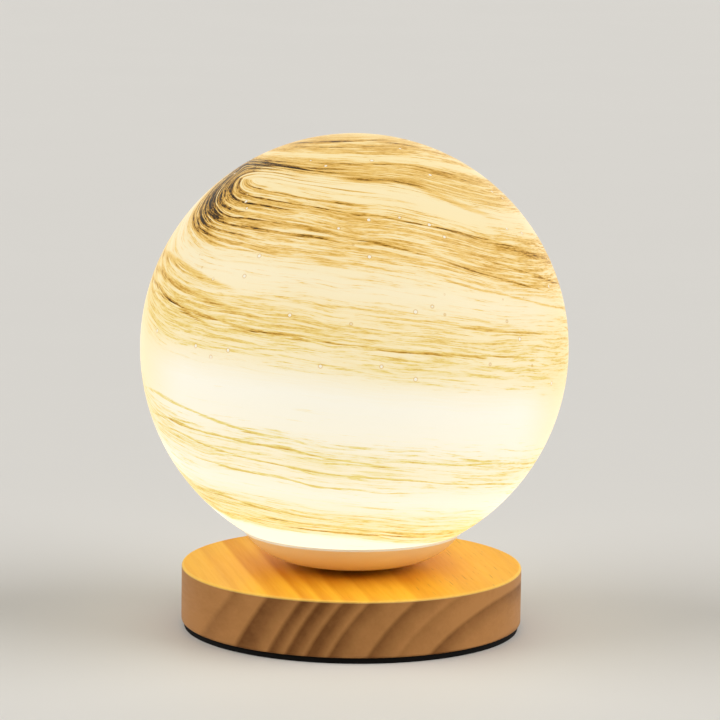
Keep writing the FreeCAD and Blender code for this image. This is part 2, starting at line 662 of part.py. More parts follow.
def make_board():
    body = new_body("driver_board")
    place(body, z=BOARD_BOTTOM)
    plan = new_sketch(body, "BoardPlan")
    draw_rectangle(plan, "-board_width / 2", "board_width / 2", BOARD_FRONT, BOARD_BACK)
    pad(body, plan, "board_thickness")
    holes = new_sketch(body, "BoardHoles")
    for x, y in SPACER_PLACES:
        draw_circle(holes, x, y, "board_screw_radius + screw_clearance")
    pocket(body, holes)

    spacers = []
    for turn, (x, y) in enumerate(SPACER_PLACES):
        outside = cylinder(f"Spacer{turn}", "spacer_radius", "spacer_height", x, y, BOARD_TOP)
        bore = cylinder(f"SpacerBore{turn}", "board_screw_radius + screw_clearance", "spacer_height",
                        x, y, BOARD_TOP)
        spacers.append(cut(f"SpacerTube{turn}", outside, bore))
    heads = [(x, y, BOARD_BOTTOM) for x, y in SPACER_PLACES]
    length = "board_thickness + spacer_height + board_screw_grip"
    fasteners = screws("board_screws", "board_screw", length, heads, "down")
    return [body, group("board_spacers", spacers), fasteners]


def make_driver_parts():
    coil = new_body("power_inductor")
    first_row = f"({BOARD_FRONT} + first_row_share * {PARTS_LENGTH})"
    place(coil, "-parts_row_side", first_row, BOARD_TOP)
    plan = new_sketch(coil, "CoilPlan")
    draw_rounded_rectangle(plan, "0", "0", "coil_side", "coil_side", "coil_edge_round")
    pad(coil, plan, "coil_height")

    chip = box("driver_chip", "chip_side", "chip_side", "driver_chip_height",
               "parts_row_side", f"{first_row} - chip_side / 2", BOARD_TOP)

    capacitors = []
    places = (("parts_row_side", "second_row_share"), ("-parts_row_side", "third_row_share"))
    for turn, (x, share) in enumerate(places):
        y = f"{BOARD_FRONT} + {share} * {PARTS_LENGTH}"
        foot = box(f"CapacitorFoot{turn}", "2 * capacitor_radius", "2 * capacitor_radius", "capacitor_foot",
                   x, f"{y} - capacitor_radius", BOARD_TOP)
        can = cylinder(f"CapacitorCan{turn}", "capacitor_radius", "capacitor_height", x, y, BOARD_TOP)
        capacitors.append(join(f"Capacitor{turn}", [foot, can]))
    return [coil, chip, group("smoothing_capacitors", capacitors)]


def make_wiring():
    """The terminal on the board, and the two wires from it up the tube into the lampholder."""
    terminal_front = f"({BOARD_FRONT} + terminal_share * {PARTS_LENGTH})"
    terminal = new_body("wire_terminal")
    place(terminal, y=terminal_front, z=BOARD_TOP)
    block = new_sketch(terminal, "TerminalBlock")
    draw_rectangle(block, "-terminal_width / 2", "terminal_width / 2", "0", "terminal_length")
    pad(terminal, block, "terminal_height")
    mouths = new_sketch(terminal, "TerminalMouths", "XZ_Plane")
    for side in ("-wire_spacing / 2", "wire_spacing / 2"):
        draw_circle(mouths, side, "wire_height_on_board", "wire_radius + wire_end_gap")
    pocket(terminal, mouths, "terminal_wire_depth", along_normal=False)

    nodes = [terminal]
    start = f"({terminal_front} + terminal_wire_depth - wire_end_gap)"
    top = f"({CUP_RIM} + contact_floor - wire_end_gap)"
    bend_top = f"({WIRE_LEVEL} + wire_bend_radius)"
    for name, side in (("lamp_wire_red", "-wire_spacing / 2"), ("lamp_wire_black", "wire_spacing / 2")):
        wire = new_body(name)
        place(wire, x=side)
        route = new_sketch(wire, f"{name}Route", "YZ_Plane")
        level, bend = number(WIRE_LEVEL), number("wire_bend_radius")
        run = route.addGeometry(Part.LineSegment(VECTOR(number(start), level, 0), VECTOR(bend, level, 0)))
        circle = Part.Circle(VECTOR(bend, level + bend, 0), VECTOR(0, 0, 1), bend)
        turn = route.addGeometry(Part.ArcOfCircle(circle, math.pi, 1.5 * math.pi))
        rise = route.addGeometry(Part.LineSegment(VECTOR(0, level + bend, 0), VECTOR(0, number(top), 0)))
        route.addConstraint(Sketcher.Constraint("Tangent", run, 2, turn, 2))
        route.addConstraint(Sketcher.Constraint("Tangent", turn, 1, rise, 1))
        pin_point(route, run, 1, start, WIRE_LEVEL)
        pin_point(route, run, 2, "wire_bend_radius", WIRE_LEVEL)
        pin_point(route, rise, 2, "0", top)
        route.addConstraint(Sketcher.Constraint("PointOnObject", rise, 1, -2))
        section = new_sketch(wire, f"{name}Section", "XZ_Plane", height=f"-{start}")
        draw_circle(section, "0", WIRE_LEVEL, "wire_radius")
        pipe = wire.newObject("PartDesign::AdditivePipe", f"{name}Pipe")
        pipe.Profile = section
        pipe.Spine = (route, [])
        document.recompute()
        length = number(f"{start} - wire_bend_radius") + bend * math.pi / 2 + number(f"{top} - {bend_top}")
        expected = math.pi * number("wire_radius") ** 2 * length
        if not math.isclose(wire.Shape.Volume, expected, rel_tol=VOLUME_TOLERANCE):
            raise RuntimeError(f"{name} has the wrong volume")
        print(f"{name}: {length:.1f} mm long, turn radius {bend:.1f} mm")
        nodes.append(wire)
    return nodes


# The tube that ties the cup to the wood

def hex_nut(name, z):
    prism = document.addObject("Part::Prism", f"{name}Hexagon")
    prism.Polygon = NUT_SIDES
    bind(prism, "Circumradius", "nut_across_flats / 2 / cos(30)")
    bind(prism, "Height", "nut_height")
    place(prism, z=z)
    bore = cylinder(f"{name}Bore", "tube_radius + thread_clearance", "nut_height", z=z)
    nut = cut(name, prism, bore)
    nut.Label = name
    return nut


def washer(name, z):
    disc = cylinder(f"{name}Disc", "washer_radius", "washer_thickness", z=z)
    bore = cylinder(f"{name}Bore", "tube_radius + thread_clearance", "washer_thickness", z=z)
    ring = cut(name, disc, bore)
    ring.Label = name
    return ring


def make_tube():
    stack = "(washer_thickness + nut_height)"
    bottom = f"({HOLLOW_ROOF} - {stack} - tube_overrun)"
    cup_floor = f"({WOOD_TOP} + cup_wall)"
    length = f"({cup_floor} + {stack} + tube_overrun - {bottom})"
    outside = cylinder("TubeOutside", "tube_radius", length, z=bottom)
    bore = cylinder("TubeBore", "tube_bore_radius", length, z=bottom)
    tube = cut("threaded_tube", outside, bore)
    tube.Label = "threaded_tube"
    return [
        tube,
        washer("lower_washer", f"{HOLLOW_ROOF} - washer_thickness"),
        hex_nut("lower_nut", f"{HOLLOW_ROOF} - {stack}"),
        washer("upper_washer", cup_floor),
        hex_nut("upper_nut", f"{cup_floor} + washer_thickness"),
    ]


# The cup, the light plate and the ring that the glass stands on

def side_curve_centre(bottom_radius, bottom_centre, side_radius, rim_radius, rim_height):
    """Centre of the side curve, which touches the bottom curve and passes through the rim."""
    reach = bottom_radius - side_radius
    across, up = rim_radius, rim_height - bottom_centre
    distance = math.hypot(across, up)
    along = (distance ** 2 + reach ** 2 - side_radius ** 2) / (2 * distance)
    off = math.sqrt(reach ** 2 - along ** 2)
    x = (across * along + up * off) / distance
    y = (up * along - across * off) / distance
    return x, bottom_centre + y


def cup_form(name, inset, rim_height):
    """A solid of revolution with the cup's outline, inset by an expression: its seat, two curves, its rim."""
    body = new_body(name)
    sketch = new_sketch(body, f"{name}Outline", "XZ_Plane")
    bottom_radius = f"(cup_bottom_curve_radius - ({inset}))"
    side_radius = f"(cup_side_curve_radius - ({inset}))"
    bottom_centre = "(cup_bottom_curve_radius - cup_seat_sink)"

    centre_y = number(bottom_centre)
    side_x, side_y = side_curve_centre(number("cup_bottom_curve_radius"), centre_y,
                                       number("cup_side_curve_radius"), number("cup_rim_radius"),
                                       number("cup_height"))
    seat = number(inset)
    seat_radius = math.sqrt(number(bottom_radius) ** 2 - (centre_y - seat) ** 2)
    reach = math.hypot(side_x, side_y - centre_y)
    touch = VECTOR(side_x / reach, (side_y - centre_y) / reach, 0) * number(bottom_radius)
    touch = touch + VECTOR(0, centre_y, 0)
    top = number(rim_height)
    rim_x = side_x + math.sqrt(number(side_radius) ** 2 - (side_y - top) ** 2)

    floor = sketch.addGeometry(Part.LineSegment(VECTOR(0, seat, 0), VECTOR(seat_radius, seat, 0)))
    bottom = sketch.addGeometry(arc_between(VECTOR(seat_radius, seat, 0), touch, number(bottom_radius), True))
    side = sketch.addGeometry(arc_between(touch, VECTOR(rim_x, top, 0), number(side_radius), True))
    rim = sketch.addGeometry(Part.LineSegment(VECTOR(rim_x, top, 0), VECTOR(0, top, 0)))
    axis = sketch.addGeometry(Part.LineSegment(VECTOR(0, top, 0), VECTOR(0, seat, 0)))
    sketch.addConstraint(Sketcher.Constraint("Coincident", floor, 2, bottom, 1))
    sketch.addConstraint(Sketcher.Constraint("Tangent", bottom, 2, side, 1))
    sketch.addConstraint(Sketcher.Constraint("Coincident", side, 2, rim, 1))
    sketch.addConstraint(Sketcher.Constraint("Coincident", rim, 2, axis, 1))
    sketch.addConstraint(Sketcher.Constraint("Coincident", axis, 2, floor, 1))
    sketch.addConstraint(Sketcher.Constraint("Horizontal", floor))
    sketch.addConstraint(Sketcher.Constraint("Horizontal", rim))
    pin_point(sketch, floor, 1, "0", inset)
    pin_point(sketch, axis, 1, "0", rim_height)
    pin_point(sketch, bottom, 3, "0", bottom_centre)
    tie_radius(sketch, bottom, bottom_radius)
    tie_radius(sketch, side, side_radius)
    # The inside's curves are as thick as the wall inside the outside's, so its rim follows from them.
    if inset == "0":
        index = sketch.addConstraint(Sketcher.Constraint("DistanceX", -1, 1, side, 2, rim_x))
        bind(sketch, f"Constraints[{index}]", "cup_rim_radius")
    else:
        # Both bodies start at the same seat, so the side curves share one centre.
        index = sketch.addConstraint(Sketcher.Constraint("DistanceX", -1, 1, side, 3, side_x))
        outline = document.getObject("CupOutsideOutline")
        sketch.setExpression(f"Constraints[{index}]", f"{outline.Name}.Constraints.side_centre")
    revolve(body, sketch)
    return body, sketch, side, side_x


def make_cup():
    outside, sketch, side, side_x = cup_form("CupOutside", "0", "cup_height")
    sketch.addConstraint(Sketcher.Constraint("DistanceX", -1, 1, side, 3, side_x))
    index = sketch.ConstraintCount - 1
    sketch.setDriving(index, False)
    sketch.renameConstraint(index, "side_centre")
    document.recompute()
    hollow = cup_form("CupHollow", "cup_wall", "cup_height")[0]

    bosses = [cylinder(f"CupBoss{turn}", "boss_radius", "cup_height - plate_thickness", x, y)
              for turn, (x, y, z) in enumerate(round_places(BOSS_CIRCLE, PLATE_SCREWS, PLATE_SCREW_ANGLE,
                                                            "0"))]
    room = cut("CupRoom", hollow, join("CupBosses", bosses))
    holes = [cylinder("CupTubeHole", TUBE_HOLE_RADIUS, "cup_height")]
    for turn, (x, y, z) in enumerate(round_places(BOSS_CIRCLE, PLATE_SCREWS, PLATE_SCREW_ANGLE,
                                                  "cup_height - plate_screw_length - plate_screw_radius")):
        holes.append(cylinder(f"BossHole{turn}", "plate_screw_radius + screw_clearance",
                              "plate_screw_length + plate_screw_radius", x, y, z))
    cup = cut("support_cup", cut("CupShell", outside, room), join("CupHoles", holes))
    cup.Label = "support_cup"
    place(cup, z=WOOD_TOP)
    return [cup]


def make_light_plate():
    body = new_body("light_plate")
    place(body, z=PLATE_BOTTOM)
    section = new_sketch(body, "PlateSection", "XZ_Plane")
    plate_radius = "(cup_rim_radius - plate_inset)"
    inner = f"({COLLAR_RADIUS} - collar_wall)"
    top = "(plate_thickness + collar_height)"
    draw_outline(section, [
        ("0", "0"), (plate_radius, "0"), (plate_radius, "plate_thickness"),
        (COLLAR_RADIUS, "plate_thickness"), (COLLAR_RADIUS, top), (inner, top), (inner, "plate_thickness"),
        ("0", "plate_thickness"),
    ])
    revolve(body, section)
    holes = new_sketch(body, "PlateHoles")
    draw_circle(holes, "0", "0", "plate_wire_hole_radius")
    for side in ("-holder_screw_spacing / 2", "holder_screw_spacing / 2"):
        draw_circle(holes, side, "0", "holder_screw_radius + screw_clearance")
    places = round_places(BOSS_CIRCLE, PLATE_SCREWS, PLATE_SCREW_ANGLE, CUP_RIM)
    for x, y, z in places:
        draw_circle(holes, x, y, "plate_screw_radius + screw_clearance")
    pocket(body, holes)
    fasteners = screws("light_plate_screws", "plate_screw", "plate_screw_length", places, "up")
    return [body, fasteners]


def make_gasket():
    outside = cylinder("GasketOutside", f"{GLOBE_OPENING_RADIUS} - gasket_inset", "gasket_thickness",
                       z=CUP_RIM)
    bore = cylinder("GasketBore", f"{COLLAR_RADIUS} + gasket_clearance", "gasket_thickness", z=CUP_RIM)
    ring = cut("globe_gasket", outside, bore)
    ring.Label = "globe_gasket"
    return [ring]


def make_globe():
    body = new_body("glass_globe")
    place(body, z=f"{GLOBE_CUT} + {GLOBE_CUT_DROP}")
    section = new_sketch(body, "GlassSection", "XZ_Plane")
    inner_radius = "(globe_radius - glass_thickness)"
    cut_level = f"-{GLOBE_CUT_DROP}"
    draw_outline(section, [
        (GLOBE_OPENING_RADIUS, cut_level), ("0", "globe_radius"), ("0", inner_radius),
        (GLASS_BORE_RADIUS, cut_level),
    ], {0: ("globe_radius", True), 2: (inner_radius, False)})
    revolve(body, section)
    level = number(cut_level)
    round_edges(body, "Chamfer", "glass_edge_chamfer",
                lambda edge: isinstance(edge.Curve, Part.Circle) and near(edge.Curve.Center.z, level))
    return [body]


# The lampholder and the bulb

def make_lampholder():
    body = new_body("lampholder")
    place(body, z=CUP_RIM)
    plan = new_sketch(body, "HolderPlan")
    draw_rectangle(plan, "-holder_width / 2", "holder_width / 2", "-holder_depth / 2", "holder_depth / 2")
    pad(body, plan, "holder_height")
    round_edges(body, "Chamfer", "holder_edge_chamfer",
                lambda edge: near(abs(edge.tangentAt(edge.FirstParameter).z), 1))
    screw_sides = ("-holder_screw_spacing / 2", "holder_screw_spacing / 2")
    pin_sides = ("-pin_spacing / 2", "pin_spacing / 2")
    wire_sides = ("-wire_spacing / 2", "wire_spacing / 2")
    cuts = [
        ("HolderScrewHoles", "0", screw_sides, "holder_screw_radius + screw_clearance", None, True),
        ("HolderScrewPits", "holder_height", screw_sides, "holder_screw_head_radius + screw_clearance",
         "holder_screw_pit_depth", False),
        ("HolderPinHoles", "holder_height", pin_sides, "pin_radius + 2 * pin_clearance",
         "holder_height - contact_floor - contact_length", False),
        ("HolderContactRooms", "contact_floor", pin_sides, "contact_radius + screw_clearance",
         "contact_length", True),
        ("HolderWireWays", "0", wire_sides, "wire_radius + wire_end_gap", "contact_floor", True),
    ]
    for name, height, sides, radius, depth, along_normal in cuts:
        sketch = new_sketch(body, name, height=height)
        for side in sides:
            draw_circle(sketch, side, "0", radius)
        pocket(body, sketch, depth, along_normal)

    contacts = []
    for turn, side in enumerate(pin_sides):
        level = f"{CUP_RIM} + contact_floor"
        outside = cylinder(f"Contact{turn}", "contact_radius", "contact_length", side, "0", level)
        bore = cylinder(f"ContactBore{turn}", "pin_radius + pin_clearance", "contact_length",
                        side, "0", level)
        contacts.append(cut(f"ContactTube{turn}", outside, bore))
    heads = [(side, "0", f"{HOLDER_TOP} - holder_screw_pit_depth") for side in screw_sides]
    fasteners = screws("lampholder_screws", "holder_screw", "holder_screw_length", heads, "up")
    return [body, group("lampholder_contacts", contacts), fasteners]


def make_bulb():
    """A two-pin bulb: a base with its pins, a post with light chips, and a frosted cover."""
    level = f"({HOLDER_TOP} + bulb_seat_gap)"
    flange_top = "(bulb_base_height + bulb_flange_thickness)"
    base = new_body("bulb_base")
    place(base, z=level)
    section = new_sketch(base, "BulbBaseSection", "XZ_Plane")
    draw_outline(section, [
        ("0", "0"), ("bulb_base_radius", "0"), ("bulb_base_radius", "bulb_base_height"),
        ("bulb_radius", "bulb_base_height"), ("bulb_radius", flange_top), ("0", flange_top),
    ])
    revolve(base, section)

    pins = [cylinder(f"Pin{turn}", "pin_radius", "pin_length", side, "0", f"{level} - pin_length")
            for turn, side in enumerate(("-pin_spacing / 2", "pin_spacing / 2"))]

    core_bottom = f"({level} + {flange_top})"
    core = box("bulb_core", "core_width", "core_width", "core_height", "0", "-core_width / 2", core_bottom)

    chips = []
    for step in range(CHIPS_PER_SIDE):
        z = f"{core_bottom} + chip_spacing * ({step} + 0.5)"
        for turn, (x, y, width, depth) in enumerate((
                ("0", "-core_width / 2 - chip_thickness", "chip_width", "chip_thickness"),
                ("0", "core_width / 2", "chip_width", "chip_thickness"),
                ("-core_width / 2 - chip_thickness / 2", "-chip_width / 2", "chip_thickness", "chip_width"),
                ("core_width / 2 + chip_thickness / 2", "-chip_width / 2", "chip_thickness", "chip_width"))):
            chips.append(box(f"Chip{step}{turn}", width, depth, "chip_height", x, y, z))
    chips.append(box("TopChip", "chip_height", "chip_height", "chip_thickness", "0", "-chip_height / 2",
                     f"{core_bottom} + core_height"))

    cover = new_body("bulb_cover")
    place(cover, z=core_bottom)
    shell = new_sketch(cover, "BulbCoverSection", "XZ_Plane")
    inner = "(bulb_radius - bulb_cover_wall)"
    shoulder = "(bulb_cover_height - bulb_radius)"
    draw_outline(shell, [
        (inner, "0"), ("bulb_radius", "0"), ("bulb_radius", shoulder), ("0", "bulb_cover_height"),
        ("0", "bulb_cover_height - bulb_cover_wall"), (inner, shoulder),
    ], {2: ("bulb_radius", True), 4: (inner, False)})
    revolve(cover, shell)
    return [base, group("bulb_pins", pins), core, group("bulb_chips", chips), cover]


def save(nodes):
    """Check the whole document, then write each sub-part to its own file."""
    document.recompute()
    for thing in document.Objects:
        if {"Invalid", "Error"} & set(thing.State):
            raise RuntimeError(f"{thing.Name} is {thing.State}")
    for node in nodes:
        if node.Shape.isNull() or not node.Shape.isValid():
            raise RuntimeError(f"{node.Label} has no valid shape")
    os.makedirs("parts", exist_ok=True)
    for node in nodes:
        node.Shape.exportStep(os.path.join("parts", f"{node.Label}.step"))
        print(f"{node.Label}: {len(node.Shape.Solids)} solids, {node.Shape.Volume:.1f} mm3")


MAKERS = (
    make_pad, make_wood_base, make_base_cover, make_port_plate, make_inlet, make_switch, make_board,
    make_driver_parts, make_wiring, make_tube, make_cup, make_light_plate, make_gasket, make_globe,
    make_lampholder, make_bulb,
)
save([node for make in MAKERS for node in make()])
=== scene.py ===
import math

import bmesh
import bpy
from mathutils import Matrix, Vector


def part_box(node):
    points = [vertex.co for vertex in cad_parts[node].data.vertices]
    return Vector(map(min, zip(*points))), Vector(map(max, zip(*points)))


bl_info = {
    "name": "Globe Table Lamp",
    "version": (1, 0, 0),
    "blender": (4, 5, 0),
    "location": "3D View > Sidebar > Lamp",
    "description": "Finishes and stage for a glass globe lamp on a wooden base",
    "category": "Object",
}

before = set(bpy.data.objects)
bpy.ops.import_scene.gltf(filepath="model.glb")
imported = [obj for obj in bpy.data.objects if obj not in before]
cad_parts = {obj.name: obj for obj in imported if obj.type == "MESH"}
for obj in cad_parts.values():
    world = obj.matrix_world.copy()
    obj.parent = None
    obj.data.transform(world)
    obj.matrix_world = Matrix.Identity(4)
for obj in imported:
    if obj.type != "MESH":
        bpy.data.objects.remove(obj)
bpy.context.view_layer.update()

MM = 0.001


# Places that come from the frame

GLOBE_LOW, GLOBE_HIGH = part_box("glass_globe")
GLOBE_RADIUS = (GLOBE_HIGH.x - GLOBE_LOW.x) / 2
GLOBE_CENTRE = Vector((0, 0, GLOBE_HIGH.z - GLOBE_RADIUS))
BULB_LOW, BULB_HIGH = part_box("bulb_cover")
BULB_MIDDLE = (BULB_LOW + BULB_HIGH) / 2
WOOD_LOW, WOOD_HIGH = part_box("wood_base")
WOOD_RADIUS = (WOOD_HIGH.x - WOOD_LOW.x) / 2


# Shader building

class Value:
    """A number, colour or vector that varies over a surface. Arithmetic adds Math nodes."""

    def __init__(self, nodes, socket):
        self.nodes = nodes
        self.socket = socket

    def maths(self, operation, first, second):
        return self.nodes.add("Math", {"operation": operation}, {0: first, 1: second})

    def __add__(self, other):
        return self.maths("ADD", self, other)

    def __radd__(self, other):
        return self.maths("ADD", other, self)

    def __sub__(self, other):
        return self.maths("SUBTRACT", self, other)

    def __rsub__(self, other):
        return self.maths("SUBTRACT", other, self)

    def __mul__(self, other):
        return self.maths("MULTIPLY", self, other)

    def __rmul__(self, other):
        return self.maths("MULTIPLY", other, self)

    def __truediv__(self, other):
        return self.maths("DIVIDE", self, other)

    def __rtruediv__(self, other):
        return self.maths("DIVIDE", other, self)

    def __pow__(self, power):
        return self.maths("POWER", self, power)

    def at_least(self, other):
        return self.maths("MAXIMUM", self, other)


class Nodes:
    """The nodes of a material or of the world."""

    def __init__(self, owner):
        owner.use_nodes = True
        self.tree = owner.node_tree
        self.tree.nodes.clear()

    def add(self, kind, settings=None, inputs=None, output=0):
        """Add a node: its type, its settings, then the values or links of its sockets."""
        node = self.tree.nodes.new("ShaderNode" + kind)
        for name, value in (settings or {}).items():
            if name == "stops":
                fill_ramp(node.color_ramp, value)
            else:
                setattr(node, name, value)
        for key, value in (inputs or {}).items():
            if isinstance(value, Value):
                self.tree.links.new(value.socket, node.inputs[key])
            else:
                node.inputs[key].default_value = value
        return None if output is None else Value(self, node.outputs[output])


class Finish(Nodes):
    """A material in the making."""

    def __init__(self, name):
        self.material = bpy.data.materials.new(name)
        super().__init__(self.material)

    def vector(self, operation, *operands, output=0):
        return self.add("VectorMath", {"operation": operation}, dict(enumerate(operands)), output)

    def dot(self, first, second):
        return self.vector("DOT_PRODUCT", first, second, output="Value")

    def length(self, vector):
        return self.vector("LENGTH", vector, output="Value")

    def scale(self, vector, factor):
        return self.add("VectorMath", {"operation": "SCALE"}, {0: vector, "Scale": factor})

    def place(self):
        """The point's place in the lamp, in metres."""
        return self.add("TexCoord", output="Object")

    def combine(self, x, y, z):
        return self.add("CombineXYZ", inputs={0: x, 1: y, 2: z})

    def clamp(self, value):
        return self.add("Clamp", inputs={0: value})

    def smooth(self, value, low, high, start=0.0, end=1.0):
        """Ease from start to end as the value goes from low to high."""
        return self.add("MapRange", {"interpolation_type": "SMOOTHSTEP"},
                        {"Value": value, "From Min": low, "From Max": high, "To Min": start, "To Max": end})

    def ramp(self, value, stops):
        """A grey by the value from 0 to 1. A stop is its place and its grey."""
        return self.add("ValToRGB", {"stops": stops}, {0: value})

    def noise(self, vector, scale, detail=2.0, roughness=0.5):
        return self.add("TexNoise", inputs={"Vector": vector, "Scale": scale, "Detail": detail,
                                            "Roughness": roughness})

    def mix(self, factor, first, second, blend="MIX"):
        """Mix two colours."""
        first, second = (value if isinstance(value, Value) else (*value, 1.0) for value in (first, second))
        return self.add("Mix", {"data_type": "RGBA", "blend_type": blend},
                        {0: factor, 6: first, 7: second}, output=2)

    def bump(self, height, distance, strength):
        return self.add("Bump", inputs={"Height": height, "Distance": distance, "Strength": strength})

    def surface(self, **sockets):
        """Finish the material. A socket's name is written with _ for each space."""
        inputs = {}
        for name, value in sockets.items():
            is_colour = isinstance(value, tuple)
            inputs[name.replace("_", " ")] = (*value, 1.0) if is_colour else value
        shader = self.add("BsdfPrincipled", inputs=inputs)
        self.add("OutputMaterial", inputs={"Surface": shader}, output=None)
        return self.material


def fill_ramp(ramp, stops):
    while len(ramp.elements) < len(stops):
        ramp.elements.new(1.0)
    for element, (place, grey) in zip(ramp.elements, stops):
        element.position = place
        element.color = (grey, grey, grey, 1.0)


def dress(finish, *nodes):
    """Give CAD nodes a finish."""
    for name in nodes:
        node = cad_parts[name]
        if not node.material_slots:
            node.data.materials.append(finish)
        for slot in node.material_slots:
            slot.material = finish


def colour_property(name, description, default):
    return bpy.props.FloatVectorProperty(
        name=name, description=description, default=default, subtype="COLOR", size=3, min=0.0, max=1.0)


def length_property(name, description, default):
    return bpy.props.FloatProperty(
        name=name, description=description, default=default, subtype="DISTANCE", unit="LENGTH", min=0.0,
        precision=5)


def angle_property(name, description, default):
    return bpy.props.FloatProperty(
        name=name, description=description, default=default, subtype="ANGLE", unit="ROTATION", min=0.0,
        max=math.pi)


def share_property(name, description, default, high=1.0):
    return bpy.props.FloatProperty(
        name=name, description=description, default=default, subtype="FACTOR", min=0.0, max=high)


# The glass globe
# Its streaks run along circles of latitude about an axis that leans a little to the back and the right.
# On the left they fold round the tip of a pale tongue, as glass does that was stirred and pulled.
# Angles are in degrees. Longitude is 0 at the front and 90 on the right.
# A pair of latitudes, distances or levels is where an effect starts and where it is full.
# Two more numbers after such a pair are the effect at the one and at the other, instead of 0 and 1.

STREAK_POLE = Vector((0.1084, 0.0826, 0.9907)).normalized()
STREAK_SIDE = Vector((STREAK_POLE.z, 0, -STREAK_POLE.x)).normalized()
STREAK_FRONT = STREAK_SIDE.cross(STREAK_POLE).normalized()
# On the right the streaks fall by this much.
FALL = 5.5
FALL_LATITUDES = (8.0, 26.0)
# Over the top they run about an axis that leans further back, and lie higher.
TOP_POLE = Vector((-0.0244, 0.2255, 0.9739)).normalized()
TOP_RAISE = 8.0
TOP_LATITUDES = (46.0, 76.0)
# How far they sway about their circles, and how much further on the back of the top. That starts this
# far in front of the axis and is full this far behind it, in shares of the globe's radius.
SWAY = 2.5
SWAY_BEHIND = 40.0
SWAY_BEHIND_FROM = (0.12, -0.14)
SWAY_SPOTS = 2.0
# Right at the top they curl, so that they don't lie in rings.
CURL = 56.0
CURL_LATITUDES = (68.0, 84.0)
CURL_SPOTS = 3.0

# The pale tongue lies along this latitude. Its tip is a point at roundness 1 and a half circle at 2.
TONGUE_LATITUDE = 47.5
TONGUE_MIDDLE = (-0.8, 0.8)
TIP_ROUNDNESS = 1.5
# The fold lies within FOLD_REACH degrees of this longitude. Its ends are the tips of the tongue.
FOLD_LONGITUDE = -120.0
FOLD_REACH = 75.0
# How fast the glass gets away from the tongue past its tips, up to its latitude and above it
FOLD_DEPTH = (0.0, 8.0, 64.0, 12.8)
# The hook is the dark part of the fold. Its edges are in degrees outside the tongue.
HOOK_LONGITUDE = -78.0
HOOK_HALF_LENGTH = 20.0
HOOK_INNER_EDGE = (4.0, 10.0)
HOOK_OUTER_EDGE = (25.0, 18.0)

# How much of the colour there is at each latitude
INK_BY_LATITUDE = (
    (-90, 0.10), (-58, 0.15), (-55, 0.90), (-49, 0.85), (-45, 0.80), (-42, 0.45), (-37, 0.35),
    (-34, 0.62), (-30, 0.68), (-25, 0.76), (-21, 0.60), (-17, 0.14), (-7, 0.04), (-4, 0.58), (2, 0.86),
    (8, 0.88), (13, 0.78), (16, 0.54), (22, 0.46), (25, 0.80), (31, 1.00), (40, 1.08), (44, 0.84),
    (46, 0.42), (51, 0.38), (53.5, 1.02), (61.5, 1.08), (63.3, 0.50), (64.3, 0.50), (66, 1.12),
    (82, 1.12), (90, 0.60),
)

# How strong that colour is at each latitude
DEPTH_BY_LATITUDE = (
    (-90, 0.60), (-55, 0.90), (-48, 0.75), (-20, 0.62), (-2, 0.66), (8, 0.78), (20, 0.70), (30, 1.0),
    (42, 1.00), (54, 0.98), (90, 0.98),
)

# How white the glass is at each latitude. Low down, just above the cup, the white band is partly the
# clear glass at the rim and partly painted light gathered there.
WHITE_BY_LATITUDE = (
    (-90, 1.0), (-57, 0.95), (-54, 0.30), (-46, 0.45), (-38, 0.85), (-28, 0.60), (-18, 0.90), (-10, 1.0),
    (-7, 0.85), (-1, 0.45), (12, 0.34), (20, 0.50), (30, 0.26), (44, 0.20), (50, 0.30), (56, 0.12),
    (66, 0.16), (75, 0.05), (90, 0.0),
)
# It is creamier towards its left and right edges, by the square of the distance from the middle. This is
# painted shade: the deeper tone of light through more glass where the globe is seen at a glancing angle
# from the front.
PAINTED_LIMB_CREAM = (0.55, 1.0, 1.0, 0.35)

# Fibres of colour, from broad to fine: spots to a radius along them, spots to a degree across them,
# detail and roughness
FIBRES = {
    "broad": (1.6, 0.16, 2.0, 0.5),
    "middling": (2.4, 0.85, 3.0, 0.6),
    "fine": (4.5, 2.0, 3.0, 0.7),
    "hair": (12.0, 4.0, 3.0, 0.7),
    "speck": (32.0, 3.0, 2.0, 0.6),
}
# The slow bends of all fibres together, and how far the fibres and the single streaks follow them
FLUTTER = (2.6, 0.12, 1.0, 0.5)
FIBRE_FLUTTER = 2.2
STREAK_FLUTTER = 2.0
# Above the tongue the fibres widen, the further from it the more.
WIDENING = (16.0, 76.0, 0.0, 30.0)
# How far the edges of the bands and the streaks stray with each width of fibre
BAND_STRAY = {"fine": 6.0}
FOLD_STREAK_STRAY = {"middling": 2.5, "fine": 1.0}
STREAK_STRAY = {"middling": 2.0, "fine": 0.8}
# How ragged the ends of the streaks are, in shares of the globe's radius
RAGGED_ENDS = 0.16

# How much colour there is at least in the hook, and how much more round its longitude
HOOK_COLOUR = 1.1
HOOK_MORE_COLOUR = 0.14
# Colour lies where the fibres stand above a threshold, which is lower where there is more of it.
THRESHOLD = 0.63
THRESHOLD_DROP = 0.17
# How much each width of fibre counts in the soft wash, in the lines and in what bites into the streaks
WASH_FIBRES = {"middling": 0.40, "fine": 0.34, "hair": 0.16, "broad": 0.10}
LINE_FIBRES = {"fine": 0.45, "hair": 0.35, "middling": 0.20}
BITE_FIBRES = {"fine": 0.35, "hair": 0.35, "speck": 0.30}
WASH_EDGE = (-0.085, 0.11)
LINE_EDGE = (-0.01, 0.12)
BITE = (0.38, 0.58, 0.42, 1.05)
# The specks break the lines up.
GRIT = (0.35, 0.65, 0.52, 1.38)
# How much ink the wash, the lines and the streaks lay down, and how much more where the colour is
# strongest or, for the lines, in the hook
WASH_INK = 0.045
WASH_MORE_INK = 0.14
LINE_INK = 0.30
LINE_MORE_INK = 0.36
STREAK_INK = 0.40
STREAK_MORE_INK = 0.45
